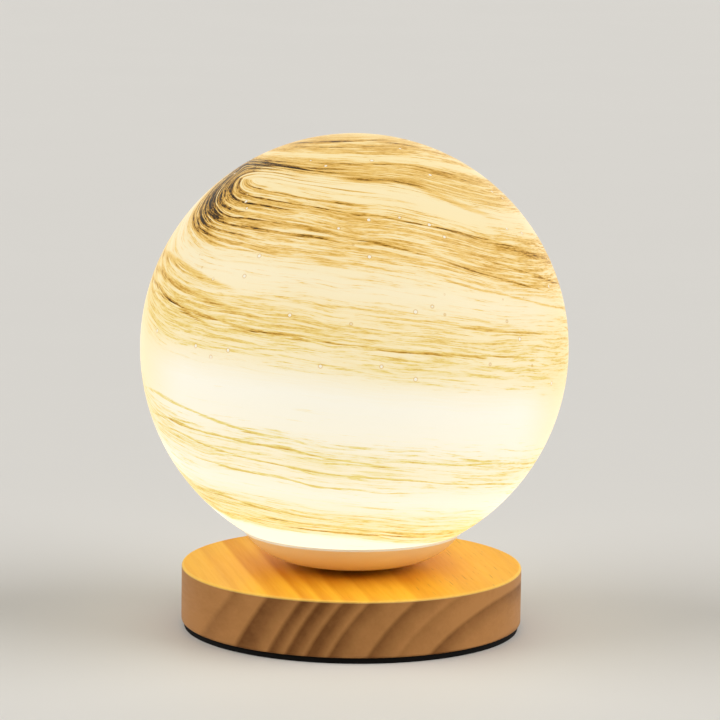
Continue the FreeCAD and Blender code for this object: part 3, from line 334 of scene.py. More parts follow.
# Between which amounts of ink the glass takes on each streak colour, from straw to dark
COLOUR_STEPS = ((0.0, 0.26), (0.18, 0.58), (0.50, 0.86), (0.80, 1.0))
STRAW_LATITUDES = (-20.0, 34.0)

# Streaks along the fold: degrees outside the tongue, half width, longitude of the middle, half length,
# depth
FOLD_STREAKS = (
    (14.6, 0.95, -74.0, 16.0, 1.15),
    (13.0, 0.55, -60.0, 34.0, 0.75),
    (15.4, 0.60, -44.0, 34.0, 0.75),
    (11.2, 0.60, -66.0, 18.0, 0.70),
    (8.4, 0.60, -60.0, 26.0, 0.85),
    (6.2, 0.50, -44.0, 24.0, 0.55),
    (3.4, 0.45, -28.0, 22.0, 0.70),
    (18.4, 0.90, -74.0, 14.0, 0.85),
    (16.6, 0.50, -72.0, 14.0, 0.80),
    (20.0, 0.45, -72.0, 14.0, 0.75),
    (18.0, 0.60, -58.0, 16.0, 0.80),
    (21.4, 0.90, -66.0, 16.0, 0.62),
)

# Single streaks: longitude of the middle, half length, latitude, slope, half width and depth
STREAKS = (
    (-54, 20, 75.4, 0.0, 1.2, 0.85),
    (-14, 20, 76.0, 3.0, 0.9, 0.50),
    (20, 20, 73.4, -3.0, 0.8, 0.45),
    (-30, 34, 70.8, 0.0, 0.8, 0.55),
    (1, 10, 53.6, 3.0, 1.5, 0.56),
    (-50, 12, 55.8, -3.0, 1.1, 0.85),
    (-30, 10, 56.4, 4.0, 0.7, 0.55),
    (-14, 12, 60.0, 3.0, 0.7, 0.40),
    (42, 18, 60.2, -1.0, 0.6, 0.40),
    (22, 24, 61.4, 0.0, 0.5, 0.32),
    (32, 12, 51.6, -8.0, 1.6, 0.30),
    (13, 28, 41.2, -1.0, 0.60, 0.55),
    (28, 16, 40.6, -1.5, 0.40, 0.40),
    (60, 14, 38.6, -5.0, 1.2, 0.34),
    (22, 44, 31.2, -5.0, 0.40, 0.44),
    (58, 30, 32.2, -4.5, 0.45, 0.38),
    (55, 28, 23.6, -5.0, 0.45, 0.34),
    (-47, 16, 27.4, -4.0, 0.9, 0.50),
    (-66, 22, 18.4, -8.0, 1.2, 0.42),
    (-58, 26, 12.4, -8.0, 1.3, 0.45),
    (-66, 16, 9.3, -12.0, 0.6, 0.62),
    (-42, 30, 6.4, -5.0, 0.5, 0.62),
    (14, 52, 4.9, 0.0, 0.36, 0.50),
    (34, 28, 12.4, -1.0, 0.45, 0.42),
    (-44, 30, -19.6, -6.0, 0.50, 0.42),
    (-30, 44, -24.6, -2.0, 0.42, 0.46),
    (-40, 30, -28.4, -5.0, 0.36, 0.40),
    (-18, 26, -34.0, -2.5, 0.38, 0.42),
    (30, 48, -30.6, -0.5, 0.36, 0.38),
    (52, 34, -24.2, 0.0, 0.36, 0.36),
    (-30, 34, -46.0, -3.0, 0.5, 0.40),
    (12, 44, -50.4, 0.0, 0.5, 0.46),
    (12, 30, -52.6, 1.0, 0.36, 0.70),
)
# Each comes again on the back, turned by this much. A streak fades out over STREAK_FADE past its end.
BACK_TURN = 165.0
STREAK_FADE = 12.0
# A single streak would cross the fibres of the fold, so there are none round this longitude. They start
# about 40 degrees from it and are full at 60. These are the cosines of the two angles.
BARE_LONGITUDE = -135.0
BARE_REACH = (0.77, 0.50)

# The small bubbles: edges of the bright point and of its darker rim, in shares of their spacing, and how
# much of their own colour both have. The bubbles are real; the bright point is painted light coming
# through each one and the darker rim painted shade.
SEED_GLINT = (0.13, 0.09)
SEED_RIM_SHADE = (0.19, 0.14)
SEED_GLINT_TINT = 0.9
SEED_RIM_SHADE_TINT = 0.50
# Which of them there are, by their random number. Streaks have more of them than plain glass.
SEED_CHOICE = (0.59, 0.61)
SEEDS_IN_STREAKS = (0.2, 0.6, 0.0, 0.26)
SEED_LATITUDES = (-8.0, -3.0)

# The glass shines evenly, and more where it is near the bulb.
SHINE_EVEN = 0.54
SHINE_NEAR = 0.175
GLASS_RELIEF = 0.12 * MM


class GlassSettings(bpy.types.PropertyGroup):
    """The glass globe."""

    white: colour_property("White", "The whitest glass", (1.0, 0.95, 0.80))
    cream: colour_property("Cream", "Plain glass between the streaks", (1.0, 0.80, 0.38))
    straw: colour_property("Straw", "The lightest streaks", (0.93, 0.625, 0.195))
    straw_low: colour_property("Straw, low", "The lightest streaks low on the glass", (0.86, 0.70, 0.22))
    ochre: colour_property("Ochre", "Plain streaks", (0.67, 0.370, 0.064))
    brown: colour_property("Brown", "Strong streaks", (0.31, 0.145, 0.014))
    dark: colour_property("Dark", "The darkest streaks", (0.035, 0.020, 0.006))
    glow: share_property("Glow", "How brightly the glass shines from the bulb inside", 1.08, 5.0)
    scatter: share_property("Scatter", "How much of the room's light the glass sends back", 0.30)
    seed_spacing: length_property("Seed spacing", "Between the small bubbles in the glass", 5.2 * MM)


def heading_to(longitude):
    """Which way a longitude lies, as its parts to the front and to the side."""
    angle = math.radians(longitude)
    return (math.cos(angle), math.sin(angle), 0)


def latitude_about(finish, outward, pole):
    """Each point's latitude about an axis."""
    return finish.add("Math", {"operation": "ARCSINE"}, {0: finish.dot(outward, pole)}) * math.degrees(1)


def by_latitude(finish, latitude, table):
    """What a table gives at each latitude."""
    return finish.ramp((latitude + 90.0) / 180.0, [((at + 90) / 180, share) for at, share in table])


def streak_level(finish, outward, front, flat, heading):
    """Each point's latitude among the streaks, which fall, turn, sway and curl."""
    plain = latitude_about(finish, outward, STREAK_POLE)
    fall = finish.smooth(finish.dot(heading, heading_to(90)), 0.0, 1.0, 0.0, FALL)
    fall = fall * finish.smooth(plain, *FALL_LATITUDES)
    over_top = finish.smooth(plain, *TOP_LATITUDES)
    behind = finish.smooth(front, *SWAY_BEHIND_FROM) * over_top
    sway = (finish.noise(flat, SWAY_SPOTS, 1.0) - 0.5) * (behind * SWAY_BEHIND + SWAY)
    top = latitude_about(finish, outward, TOP_POLE)
    level = plain + fall
    level = level + (top + TOP_RAISE - level) * over_top + sway
    curl = (finish.noise(outward, CURL_SPOTS, 1.0) - 0.5) * finish.smooth(top, *CURL_LATITUDES)
    return level + curl * CURL


def outside_tongue(finish, level, heading):
    """Degrees outside the tongue, round its tip, and whether that is above it, from 0 to 1."""
    above = level - TONGUE_LATITUDE
    upper = finish.smooth(above, *TONGUE_MIDDLE)
    rise = above * (upper + 1.0)
    back = finish.dot(heading, heading_to(FOLD_LONGITUDE)) - math.cos(math.radians(FOLD_REACH))
    behind = back.at_least(0.0) ** 2 * finish.smooth(above, *FOLD_DEPTH)
    outside = (rise * rise) ** (TIP_ROUNDNESS / 2) + behind ** TIP_ROUNDNESS
    return outside ** (1 / TIP_ROUNDNESS), upper


def fibre_noise(finish, front, side, across, along_spots, across_spots, detail, roughness):
    """Noise that is drawn out along the streaks."""
    place = finish.combine(front * along_spots, side * along_spots, across * across_spots)
    return finish.noise(place, 1.0, detail, roughness)


def mixed(fibres, shares):
    """Fibres of several widths, each with its share."""
    return sum(fibres[name] * share for name, share in shares.items())


def stray(fibres, reaches):
    """How far something strays with fibres of several widths."""
    return sum((fibres[name] - 0.5) * reach for name, reach in reaches.items())


def window(finish, heading, longitude, half_length):
    """1 within half the half length of a longitude, fading to 0 past its end."""
    return finish.smooth(finish.dot(heading, heading_to(longitude)),
                         math.cos(math.radians(half_length + STREAK_FADE)),
                         math.cos(math.radians(half_length / 2)))


def stroke(finish, heading, longitude, half_length, off):
    """One streak, 1 along its middle and 0 where off reaches 1, thinner towards its ends."""
    return finish.clamp(window(finish, heading, longitude, half_length) - off * off)


def fold_marks(finish, heading, outside):
    """The dark streaks that follow the fold."""
    marks = 0.0
    for distance, half_width, longitude, half_length, depth in FOLD_STREAKS:
        off = (outside - distance) / half_width
        marks = stroke(finish, heading, longitude, half_length, off) * depth + marks
    return marks


def single_marks(finish, heading, level):
    """The single streaks of the front and the back."""
    marks = 0.0
    for middle, half_length, latitude, slope, half_width, depth in STREAKS:
        for longitude in (middle, middle + BACK_TURN):
            tilt = finish.dot(heading, heading_to(longitude + 90)) * slope
            off = (level - tilt - latitude) / half_width
            marks = stroke(finish, heading, longitude, half_length, off) * depth + marks
    return marks


def band_ink(finish, fibres, drawn, hook, strength):
    """The ink of the bands, a soft wash with lines in it."""
    threshold = THRESHOLD - drawn * THRESHOLD_DROP
    wash = finish.smooth(mixed(fibres, WASH_FIBRES) - threshold, *WASH_EDGE)
    lines = finish.smooth(mixed(fibres, LINE_FIBRES) - threshold, *LINE_EDGE)
    grit = finish.smooth(fibres["speck"], *GRIT)
    wash_ink = wash * (strength * WASH_MORE_INK + WASH_INK)
    return wash_ink + lines * (hook * LINE_MORE_INK + LINE_INK) * grit * strength


def streak_ink(finish, fibres, front, side, heading, outside, wander, strength):
    """The ink of the streaks, which the fibres bite into."""
    ragged_front = front + (fibres["fine"] - 0.5) * RAGGED_ENDS
    ragged = finish.vector("NORMALIZE", finish.combine(ragged_front, side, 0.0))
    marks = fold_marks(finish, ragged, outside + stray(fibres, FOLD_STREAK_STRAY))
    present = finish.smooth(finish.dot(heading, heading_to(BARE_LONGITUDE)), *BARE_REACH)
    marks = marks + single_marks(finish, ragged, wander + stray(fibres, STREAK_STRAY)) * present
    bite = finish.smooth(mixed(fibres, BITE_FIBRES), *BITE)
    return marks * bite * (strength * STREAK_MORE_INK + STREAK_INK)


def glass_colour(finish, settings, banded, side, level, ink):
    """Plain glass, and over it the streak colours by the amount of ink."""
    # Less white towards the left and right edges: painted shade for light through more glass there.
    white = by_latitude(finish, banded, WHITE_BY_LATITUDE) * finish.smooth(side * side, *PAINTED_LIMB_CREAM)
    glass = finish.mix(white, settings.cream, settings.white)
    straw = finish.mix(finish.smooth(level, *STRAW_LATITUDES), settings.straw_low, settings.straw)
    for step, colour in zip(COLOUR_STEPS, (straw, settings.ochre, settings.brown, settings.dark)):
        glass = finish.mix(finish.smooth(ink, *step), glass, colour)
    return glass


def seeds(finish, place, level, drawn, spacing):
    """The small bubbles in the glass: their bright points, painted light, and their darker rims, painted
    shade.
    """
    grid = {"Vector": place, "Scale": 1.0 / spacing}
    near = finish.add("TexVoronoi", inputs=grid, output="Distance")
    pick = finish.add("TexVoronoi", inputs=grid, output="Color")
    chance = finish.dot(pick, (0.5, 0, 0)) + finish.smooth(drawn, *SEEDS_IN_STREAKS)
    chosen = finish.smooth(chance, *SEED_CHOICE) * finish.smooth(level, *SEED_LATITUDES)
    return finish.smooth(near, *SEED_GLINT) * chosen, finish.smooth(near, *SEED_RIM_SHADE) * chosen


def streaked_glass(settings):
    """Opal glass with golden brown streaks, lit by the bulb inside."""
    finish = Finish("streaked_glass")
    place = finish.place()
    outward = finish.vector("NORMALIZE", finish.vector("SUBTRACT", place, GLOBE_CENTRE))
    front = finish.dot(outward, STREAK_FRONT)
    side = finish.dot(outward, STREAK_SIDE)
    flat = finish.combine(front, side, 0.0)
    heading = finish.vector("NORMALIZE", flat)
    level = streak_level(finish, outward, front, flat, heading)
    outside, upper = outside_tongue(finish, level, heading)

    flutter = fibre_noise(finish, front, side, outside, *FLUTTER) - 0.5
    outside = outside + flutter * FIBRE_FLUTTER
    across = outside - finish.smooth(outside, *WIDENING) * upper
    fibres = {name: fibre_noise(finish, front, side, across, *row) for name, row in FIBRES.items()}

    # Below the tongue a degree outside it is a degree of latitude. Above it, it is half of one.
    banded = (outside + stray(fibres, BAND_STRAY)) * (upper * 1.5 - 1.0) + TONGUE_LATITUDE
    strength = by_latitude(finish, banded, DEPTH_BY_LATITUDE)
    left = window(finish, heading, HOOK_LONGITUDE, HOOK_HALF_LENGTH)
    hook = left * finish.smooth(outside, *HOOK_INNER_EDGE) * finish.smooth(outside, *HOOK_OUTER_EDGE)
    drawn = by_latitude(finish, banded, INK_BY_LATITUDE).at_least(hook * HOOK_COLOUR)
    drawn = drawn + left * HOOK_MORE_COLOUR
    wander = level + flutter * STREAK_FLUTTER
    ink = band_ink(finish, fibres, drawn, hook, strength)
    ink = ink + streak_ink(finish, fibres, front, side, heading, outside, wander, strength)

    glass = glass_colour(finish, settings, banded, side, level, finish.clamp(ink))
    bubble_glint, bubble_rim_shade = seeds(finish, place, level, drawn, settings.seed_spacing)
    # Painted shade on the bubbles' rims, then painted light on their bright points
    glass = finish.mix(bubble_rim_shade * SEED_RIM_SHADE_TINT, glass, settings.ochre)
    glass = finish.mix(bubble_glint * SEED_GLINT_TINT, glass, settings.white)

    away = finish.vector("SUBTRACT", place, BULB_MIDDLE)
    shine = SHINE_EVEN + SHINE_NEAR / (finish.dot(away, away) / GLOBE_RADIUS ** 2)
    glowing = finish.mix(1.0, glass, finish.combine(shine, shine, shine), blend="MULTIPLY")
    lit = finish.mix(1.0, glass, (settings.scatter,) * 3, blend="MULTIPLY")
    return finish.surface(
        Base_Color=lit, Roughness=0.30, Specular_IOR_Level=0.06,
        Emission_Color=glowing, Emission_Strength=settings.glow,
        Normal=finish.bump(fibres["fine"] * 0.5 - bubble_glint * 1.5, GLASS_RELIEF, 0.35))


class LAMP_OT_glass_globe(bpy.types.Operator):
    """Finish the glass globe"""

    bl_idname = "lamp.glass_globe"
    bl_label = "Glass Globe"

    def execute(self, context):
        dress(streaked_glass(context.scene.lamp_glass), "glass_globe")
        return {"FINISHED"}


# The wooden base
# Its rings run round the heart of the log, a line that passes below the base, to the right of the front.

LOG_AXIS = Vector((0.208, -0.978, 0.0)).normalized()
LOG_HEART = Vector((66.0, -60.0, -32.0)) * MM
# Each ring: where it ends, in millimetres from the heart, and how dark it is at its end and in its middle
RINGS = (
    (36.0, 0.5, 0.2), (50.3, 0.80, 0.25), (59.5, 0.35, 0.10), (68.3, 0.80, 0.45), (79.7, 0.75, 0.20),
    (86.3, 0.85, 0.75), (92.2, 0.90, 0.70), (97.2, 0.90, 0.70), (106.2, 0.95, 0.70), (114.8, 0.45, 0.15),
)
RING_SPAN = 130.0
# A ring is darkest this far before its end, and the next one starts pale this far after it.
RING_DARKEST = 1.0
RING_SHARP = 0.35
RING_WOBBLE = 3.0 * MM

# Spots of the markings in each metre across the grain
WOBBLE_SPOTS = 16.0
CLOUD_SPOTS = 60.0
GRAIN_SPOTS = 300.0
FIBRE_SPOTS = 900.0
PORE_SPOTS = 2000.0
# How many of them there are along the grain, as a share of that
FIBRE_STRETCH = 0.05
PORE_STRETCH = 0.035

EDGE_ROUND = 0.8 * MM
# The top's colour is complete this far below the top.
TOP_COLOUR_DEPTH = 0.3 * MM
# Where the painted highlight along the edge starts and ends, in rounding radii from the sharp corner
EDGE_HIGHLIGHT = (1.15, 0.95)
PORE_EDGE = (0.66, 0.76)
WOOD_RELIEF = 0.10 * MM


class WoodSettings(bpy.types.PropertyGroup):
    """The wooden base."""

    # The top's colours carry painted light from the globe's glow. The side's colours carry painted shade,
    # and its end grain is also darker in itself.
    glow_lit_top_pale: colour_property("Top, light", "Pale wood on the top", (1.0, 0.53, 0.035))
    glow_lit_top_deep: colour_property("Top, dark", "Dark wood on the top", (0.78, 0.31, 0.012))
    shaded_side_pale: colour_property("Side, light", "Pale wood on the side", (0.47, 0.215, 0.066))
    shaded_side_deep: colour_property("Side, dark", "Dark wood on the side", (0.150, 0.052, 0.010))
    # Edge: the colour of a painted highlight along the rounded edge, not of thicker lacquer.
    edge: colour_property("Edge", "The rounded edge, where the lacquer is thick", (1.0, 0.72, 0.20))
    pore: colour_property("Pores", "Short dark pores along the grain", (0.30, 0.105, 0.010))


def ring_stops():
    stops = [(0.0, 0.0)]
    for end, dark_end, dark_middle in RINGS:
        start = stops[-1][0] * RING_SPAN
        stops.append(((end + start) / 2 / RING_SPAN, dark_middle))
        stops.append(((end - RING_DARKEST) / RING_SPAN, dark_end))
        stops.append(((end + RING_SHARP) / RING_SPAN, 0.0))
    return stops


def pine_wood(settings):
    """Lacquered pine: curved rings where the grain ends, straight lines along it on the top; painted light
    on the top, painted shade on the side.
    """
    finish = Finish("pine_wood")
    place = finish.place()
    from_heart = finish.vector("SUBTRACT", place, LOG_HEART)
    along = finish.dot(from_heart, LOG_AXIS)
    distance = finish.length(finish.vector("CROSS_PRODUCT", from_heart, LOG_AXIS))
    across = finish.vector("SUBTRACT", from_heart, finish.scale(LOG_AXIS, along))
    # Stretched along the log, so that a spot becomes a fibre or a pore
    fibre_place = finish.vector("ADD", across, finish.scale(LOG_AXIS, along * FIBRE_STRETCH))
    pore_place = finish.vector("ADD", across, finish.scale(LOG_AXIS, along * PORE_STRETCH))

    wobble = (finish.noise(fibre_place, WOBBLE_SPOTS, 1.0) - 0.5) * RING_WOBBLE
    late = finish.ramp((distance + wobble) * (1.0 / (RING_SPAN * MM)), ring_stops())
    fibre = finish.noise(fibre_place, FIBRE_SPOTS, 3.0, 0.6)
    grain = finish.noise(fibre_place, GRAIN_SPOTS, 3.0, 0.6)
    cloud = finish.noise(fibre_place, CLOUD_SPOTS, 2.0)

    level = finish.dot(place, (0, 0, 1))
    top = finish.smooth(level, WOOD_HIGH.z - EDGE_ROUND, WOOD_HIGH.z - TOP_COLOUR_DEPTH)
    to_right = finish.smooth(finish.dot(place, (1, 0, 0)), -WOOD_RADIUS / 4, WOOD_RADIUS * 0.8)
    pores = finish.smooth(finish.noise(pore_place, PORE_SPOTS, 1.0), *PORE_EDGE)
    pores = pores * top * (to_right * 0.45 + 0.10)

    # The top shows less of the rings than the side, and more of the grain.
    tone = late * (0.95 - top * 0.15) + (grain - 0.5) * (top * 0.6 + 0.3) + (cloud - 0.5) * 0.6
    tone = finish.clamp(tone + (fibre - 0.5) * (top * 0.3 + 0.2) - to_right * (1.0 - top) * 0.15 + 0.06)
    # Painted light and shade: a glow-lit copy of the wood on the top, a shaded copy on the side.
    side = finish.mix(tone, settings.shaded_side_pale, settings.shaded_side_deep)
    glow_lit_top_wood = finish.mix(tone, settings.glow_lit_top_pale, settings.glow_lit_top_deep)
    wood = finish.mix(top, side, glow_lit_top_wood)
    wood = finish.mix(pores, wood, settings.pore)

    out = finish.length(finish.vector("MULTIPLY", place, (1, 1, 0)))
    # A painted highlight along the rounded edge
    edge_highlight = (WOOD_RADIUS + WOOD_HIGH.z - EDGE_ROUND * part for part in EDGE_HIGHLIGHT)
    wood = finish.mix(finish.smooth(out + level, *edge_highlight) * 0.35, wood, settings.edge)
    return finish.surface(
        Base_Color=wood, Roughness=0.44 + (fibre - 0.5) * 0.16 + late * 0.05, Specular_IOR_Level=0.12,
        Normal=finish.bump(fibre * 0.5 - pores * 0.3 + late * 0.2, WOOD_RELIEF, 0.35))


class LAMP_OT_wooden_base(bpy.types.Operator):
    """Finish the wooden base"""

    bl_idname = "lamp.wooden_base"
    bl_label = "Wooden Base"

    def execute(self, context):
        dress(pine_wood(context.scene.lamp_wood), "wood_base")
        return {"FINISHED"}


# Plain finishes
# Grain is in spots for each metre, its depth in millimetres.

MOTTLE = 0.04
MOTTLE_SPOTS = 35.0
BRUSH_SPOTS = 180.0
BRUSH_STRETCH = 40.0
TARNISH = 0.86
TARNISH_SPOTS = 120.0


def painted(name, colour, roughness, grain=700.0, depth=0.02, **sockets):
    """A sprayed or moulded skin: fine grain, and slow changes of tone and gloss."""
    finish = Finish(name)
    place = finish.place()
    skin = finish.noise(place, grain, 3.0, 0.6)
    slow = finish.noise(place, MOTTLE_SPOTS, 2.0)
    darker = tuple(channel * (1 - MOTTLE) for channel in colour)
    lighter = tuple(min(channel * (1 + MOTTLE) + MOTTLE * 0.02, 1.0) for channel in colour)
    tone = finish.mix(finish.clamp(slow * 0.7 + skin * 0.3), darker, lighter)
    return finish.surface(
        Base_Color=tone, Roughness=roughness + (skin - 0.5) * 0.12 + (slow - 0.5) * 0.06,
        Normal=finish.bump(skin, depth * MM, 0.5), **sockets)


def brushed(name, colour, roughness, across):
    """Bare or plated metal with fine marks across a direction."""
    finish = Finish(name)
    place = finish.place()
    stretched = finish.vector("MULTIPLY", place, tuple(BRUSH_STRETCH if axis else 1.0 for axis in across))
    marks = finish.noise(stretched, BRUSH_SPOTS, 3.0, 0.6)
    slow = finish.noise(place, TARNISH_SPOTS, 2.0)
    tone = finish.mix(finish.clamp(slow), tuple(channel * TARNISH for channel in colour), colour)
    return finish.surface(Base_Color=tone, Metallic=1.0, Roughness=roughness + (marks - 0.5) * 0.14,
                          Normal=finish.bump(marks, 0.01 * MM, 0.4))


class CupSettings(bpy.types.PropertyGroup):
    """The white cup under the globe and what closes it."""

    # The cup is white paint; this colour adds painted warm light bounced up from the glowing wood top.
    white: colour_property("Cup", "Paint on the cup and the light plate", (0.95, 0.78, 0.47))
    ring: colour_property("Ring", "The clear ring that the glass stands on", (0.95, 0.92, 0.80))


class LAMP_OT_cup(bpy.types.Operator):
    """Finish the cup, the light plate and the ring under the glass"""

    bl_idname = "lamp.cup"
    bl_label = "Cup and Ring"

    def execute(self, context):
        settings = context.scene.lamp_cup
        cup_white = painted("cup_white", settings.white, roughness=0.48, grain=900.0, depth=0.015)
        dress(cup_white, "support_cup", "light_plate")
        dress(painted("clear_silicone", settings.ring, roughness=0.35, grain=500.0), "globe_gasket")
        return {"FINISHED"}


class LAMP_OT_underside(bpy.types.Operator):
    """Finish the pad, the cover and all screws, nuts and pins"""

    bl_idname = "lamp.underside"
    bl_label = "Pad and Cover"

    def execute(self, context):
        foam_black = painted("foam_black", (0.006, 0.0055, 0.005), roughness=0.90, grain=1400.0,
                             depth=0.12, Specular_IOR_Level=0.1)
        dress(foam_black, "anti_slip_pad")
        dress(painted("cover_black", (0.02, 0.02, 0.02), roughness=0.55), "base_cover")
        zinc = brushed("zinc_steel", (0.62, 0.62, 0.60), roughness=0.30, across=(1, 0, 0))
        dress(zinc, "cover_screws", "port_plate_screws", "board_screws", "light_plate_screws",
              "lampholder_screws", "threaded_tube", "lower_washer", "lower_nut", "upper_washer",
              "upper_nut", "bulb_pins")
        return {"FINISHED"}


class LAMP_OT_ports(bpy.types.Operator):
    """Finish the inlet, the button and the plate round them"""

    bl_idname = "lamp.ports"
    bl_label = "Inlet and Button"

    def execute(self, context):
        plate_black = painted("plate_black", (0.022, 0.022, 0.024), roughness=0.50, grain=1100.0,
                              depth=0.05)
        dress(plate_black, "port_plate")
        button_black = painted("button_black", (0.05, 0.05, 0.052), roughness=0.30, grain=900.0,
                               depth=0.01)
        dress(button_black, "power_button")
        inlet_steel = brushed("inlet_steel", (0.70, 0.70, 0.68), roughness=0.24, across=(0, 1, 0))
        dress(inlet_steel, "usb_c_shell")
        part_black = painted("part_black", (0.04, 0.04, 0.04), roughness=0.45)
        dress(part_black, "usb_c_tongue", "switch_body", "driver_chip", "wire_terminal")
        spacer_nylon = painted("spacer_nylon", (0.80, 0.79, 0.74), roughness=0.45)
        dress(spacer_nylon, "switch_plunger", "board_spacers")
        return {"FINISHED"}


class LAMP_OT_driver(bpy.types.Operator):
    """Finish the driver board, its parts and the wires"""

    bl_idname = "lamp.driver"
    bl_label = "Driver Board"

    def execute(self, context):
        dress(painted("board_green", (0.03, 0.20, 0.08), roughness=0.35), "driver_board")
        coil_grey = painted("coil_grey", (0.16, 0.16, 0.165), roughness=0.60, grain=500.0, depth=0.05)
        dress(coil_grey, "power_inductor")
        can_aluminium = brushed("can_aluminium", (0.78, 0.78, 0.79), roughness=0.28, across=(0, 0, 1))
        dress(can_aluminium, "smoothing_capacitors")
        dress(painted("wire_red", (0.55, 0.035, 0.03), roughness=0.32), "lamp_wire_red")
        dress(painted("wire_black", (0.02, 0.02, 0.02), roughness=0.32), "lamp_wire_black")
        return {"FINISHED"}


class BulbSettings(bpy.types.PropertyGroup):
    """The bulb and its holder."""

    light: colour_property("Light", "Colour of the bulb's light", (1.0, 0.80, 0.50))
    glow: share_property("Glow", "How brightly the bulb shines", 1.1, 20.0)


class LAMP_OT_bulb(bpy.types.Operator):
    """Finish the bulb and its holder"""

    bl_idname = "lamp.bulb"
    bl_label = "Bulb and Holder"

    def execute(self, context):
        settings = context.scene.lamp_bulb
        light = {"Emission_Color": tuple(settings.light), "Emission_Strength": settings.glow}
        dress(painted("bulb_frosted", (0.85, 0.80, 0.70), roughness=0.40, **light), "bulb_cover")
        dress(painted("chip_yellow", (0.85, 0.62, 0.12), roughness=0.35, **light), "bulb_chips")
        dress(painted("bulb_plastic", (0.88, 0.86, 0.82), roughness=0.38), "bulb_base", "bulb_core")
        white_ceramic = painted("white_ceramic", (0.87, 0.85, 0.80), roughness=0.22, grain=600.0,
                                Coat_Weight=0.5)
        dress(white_ceramic, "lampholder")
        contact_brass = brushed("contact_brass", (0.80, 0.58, 0.25), roughness=0.25, across=(0, 0, 1))
        dress(contact_brass, "lampholder_contacts")
        return {"FINISHED"}


# The stage: floor, lights and camera

# The camera stands where the outlines of the globe and the base fall on those of the photograph.
CAMERA_PLACE = Vector((0.0, -1.382148, 0.322251))
CAMERA_RIGHT = Vector((0.999914429, 0.000683728, 0.0130639573))
CAMERA_UP = Vector((-0.01300176, 0.16226481, 0.98666159))
CAMERA_BACK = Vector((-0.00144521, -0.98674701, 0.16225981))
CAMERA_LENS = 199.78
CAMERA_SENSOR = 36.0
CAMERA_NEAR = 0.05
CAMERA_FAR = 100.0
FLOOR_SIZE = 40.0
FLOOR_MOTTLE = 0.97
FLOOR_SPOTS = 6.0
# Each soft light shines from this place towards the lamp.
LEFT_LIGHT = Vector((-1.0, -0.20, 0.80))
RIGHT_LIGHT = Vector((1.0, -0.20, 0.80))
AMBIENT_COLOUR = (1.0, 0.98, 0.95)


class StageSettings(bpy.types.PropertyGroup):
    """The floor, the lights and the camera."""

    floor: colour_property("Floor", "The pale floor", (0.70, 0.68, 0.64))
    backdrop: colour_property("Backdrop", "What is seen past the floor", (0.76, 0.75, 0.73))
    ambience: share_property("Ambience", "Even light from all round", 0.24, 2.0)
    left: share_property("Left light", "Strength of the soft light from the left", 1.65, 5.0)
    right: share_property("Right light", "Strength of the soft light from the right", 1.95, 5.0)
    spread: angle_property("Spread", "How wide the soft lights look", math.radians(50))


def soft_light(name, origin, strength, spread):
    """A wide, distant light that shines from a place towards the lamp."""
    data = bpy.data.lights.new(name, "SUN")
    data.energy = strength
    data.angle = spread
    light = bpy.data.objects.new(name, data)
    light.location = origin
    light.rotation_euler = (-origin).to_track_quat("-Z", "Y").to_euler()
    bpy.context.scene.collection.objects.link(light)


def pale_floor(settings):
    finish = Finish("pale_floor")
    mottle = finish.noise(finish.place(), FLOOR_SPOTS, 4.0, 0.6)
    tone = finish.mix(mottle, tuple(channel * FLOOR_MOTTLE for channel in settings.floor), settings.floor)
    return finish.surface(Base_Color=tone, Roughness=0.62)


def add_floor(settings):
    mesh = bpy.data.meshes.new("floor")
    grid = bmesh.new()
    bmesh.ops.create_grid(grid, x_segments=1, y_segments=1, size=FLOOR_SIZE / 2)
    grid.to_mesh(mesh)
    grid.free()
    mesh.materials.append(pale_floor(settings))
    floor = bpy.data.objects.new("floor", mesh)
    bpy.context.scene.collection.objects.link(floor)


def light_world(settings):
    """Even light, with a pale backdrop where the camera, glass or gloss sees it."""
    world = bpy.data.worlds.new("studio")
    nodes = Nodes(world)
    camera = nodes.add("LightPath", output="Is Camera Ray")
    gloss = nodes.add("LightPath", output="Is Glossy Ray")
    glass = nodes.add("LightPath", output="Is Transmission Ray")
    even = {"Color": (*AMBIENT_COLOUR, 1.0), "Strength": settings.ambience}
    light = nodes.add("Background", inputs=even)
    backdrop = nodes.add("Background", inputs={"Color": (*settings.backdrop, 1.0)})
    seen = camera.at_least(gloss).at_least(glass)
    surface = nodes.add("MixShader", inputs={0: seen, 1: light, 2: backdrop})
    nodes.add("OutputWorld", inputs={"Surface": surface}, output=None)
    bpy.context.scene.world = world


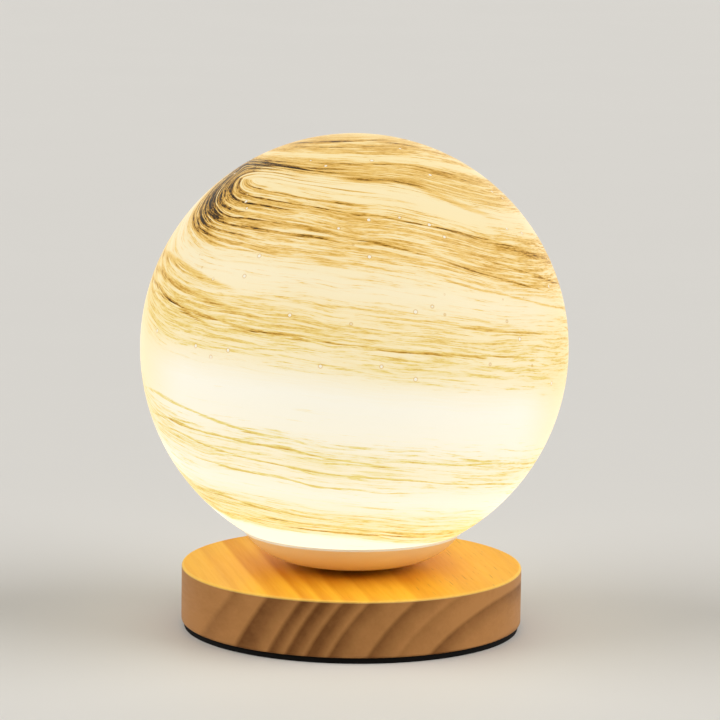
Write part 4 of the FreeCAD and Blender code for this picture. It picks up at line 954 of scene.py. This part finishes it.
def add_camera():
    data = bpy.data.cameras.new("camera")
    data.lens = CAMERA_LENS
    data.sensor_width = CAMERA_SENSOR
    data.sensor_fit = "HORIZONTAL"
    data.clip_start = CAMERA_NEAR
    data.clip_end = CAMERA_FAR
    camera = bpy.data.objects.new("camera", data)
    turn = Matrix((CAMERA_RIGHT, CAMERA_UP, CAMERA_BACK)).transposed()
    camera.matrix_world = Matrix.Translation(CAMERA_PLACE) @ turn.to_4x4()
    bpy.context.scene.collection.objects.link(camera)
    bpy.context.scene.camera = camera


class LAMP_OT_stage(bpy.types.Operator):
    """Make the floor, the lights and the camera"""

    bl_idname = "lamp.stage"
    bl_label = "Stage"

    def execute(self, context):
        settings = context.scene.lamp_stage
        add_floor(settings)
        light_world(settings)
        soft_light("left_light", LEFT_LIGHT, settings.left, settings.spread)
        soft_light("right_light", RIGHT_LIGHT, settings.right, settings.spread)
        add_camera()
        context.scene.view_settings.view_transform = "Standard"
        return {"FINISHED"}


SETTINGS = {
    "lamp_glass": GlassSettings,
    "lamp_wood": WoodSettings,
    "lamp_cup": CupSettings,
    "lamp_bulb": BulbSettings,
    "lamp_stage": StageSettings,
}
OPERATORS = (
    LAMP_OT_glass_globe, LAMP_OT_wooden_base, LAMP_OT_cup, LAMP_OT_underside, LAMP_OT_ports,
    LAMP_OT_driver, LAMP_OT_bulb, LAMP_OT_stage,
)


class LAMP_PT_pieces(bpy.types.Panel):
    """The lamp's settings and pieces"""

    bl_idname = "LAMP_PT_pieces"
    bl_label = "Globe Table Lamp"
    bl_space_type = "VIEW_3D"
    bl_region_type = "UI"
    bl_category = "Lamp"

    def draw(self, context):
        layout = self.layout
        for member, group in SETTINGS.items():
            box = layout.box()
            box.label(text=group.__doc__)
            for name in group.__annotations__:
                box.prop(getattr(context.scene, member), name)
        for operator in OPERATORS:
            layout.operator(operator.bl_idname)


def register():
    for kind in (*SETTINGS.values(), *OPERATORS, LAMP_PT_pieces):
        bpy.utils.register_class(kind)
    for member, group in SETTINGS.items():
        setattr(bpy.types.Scene, member, bpy.props.PointerProperty(type=group))


def unregister():
    for member in SETTINGS:
        delattr(bpy.types.Scene, member)
    for kind in (LAMP_PT_pieces, *OPERATORS, *SETTINGS.values()):
        bpy.utils.unregister_class(kind)


def main():
    register()
    for operator in OPERATORS:
        group, name = operator.bl_idname.split(".")
        getattr(getattr(bpy.ops, group), name)()


if __name__ == "__main__":
    main()
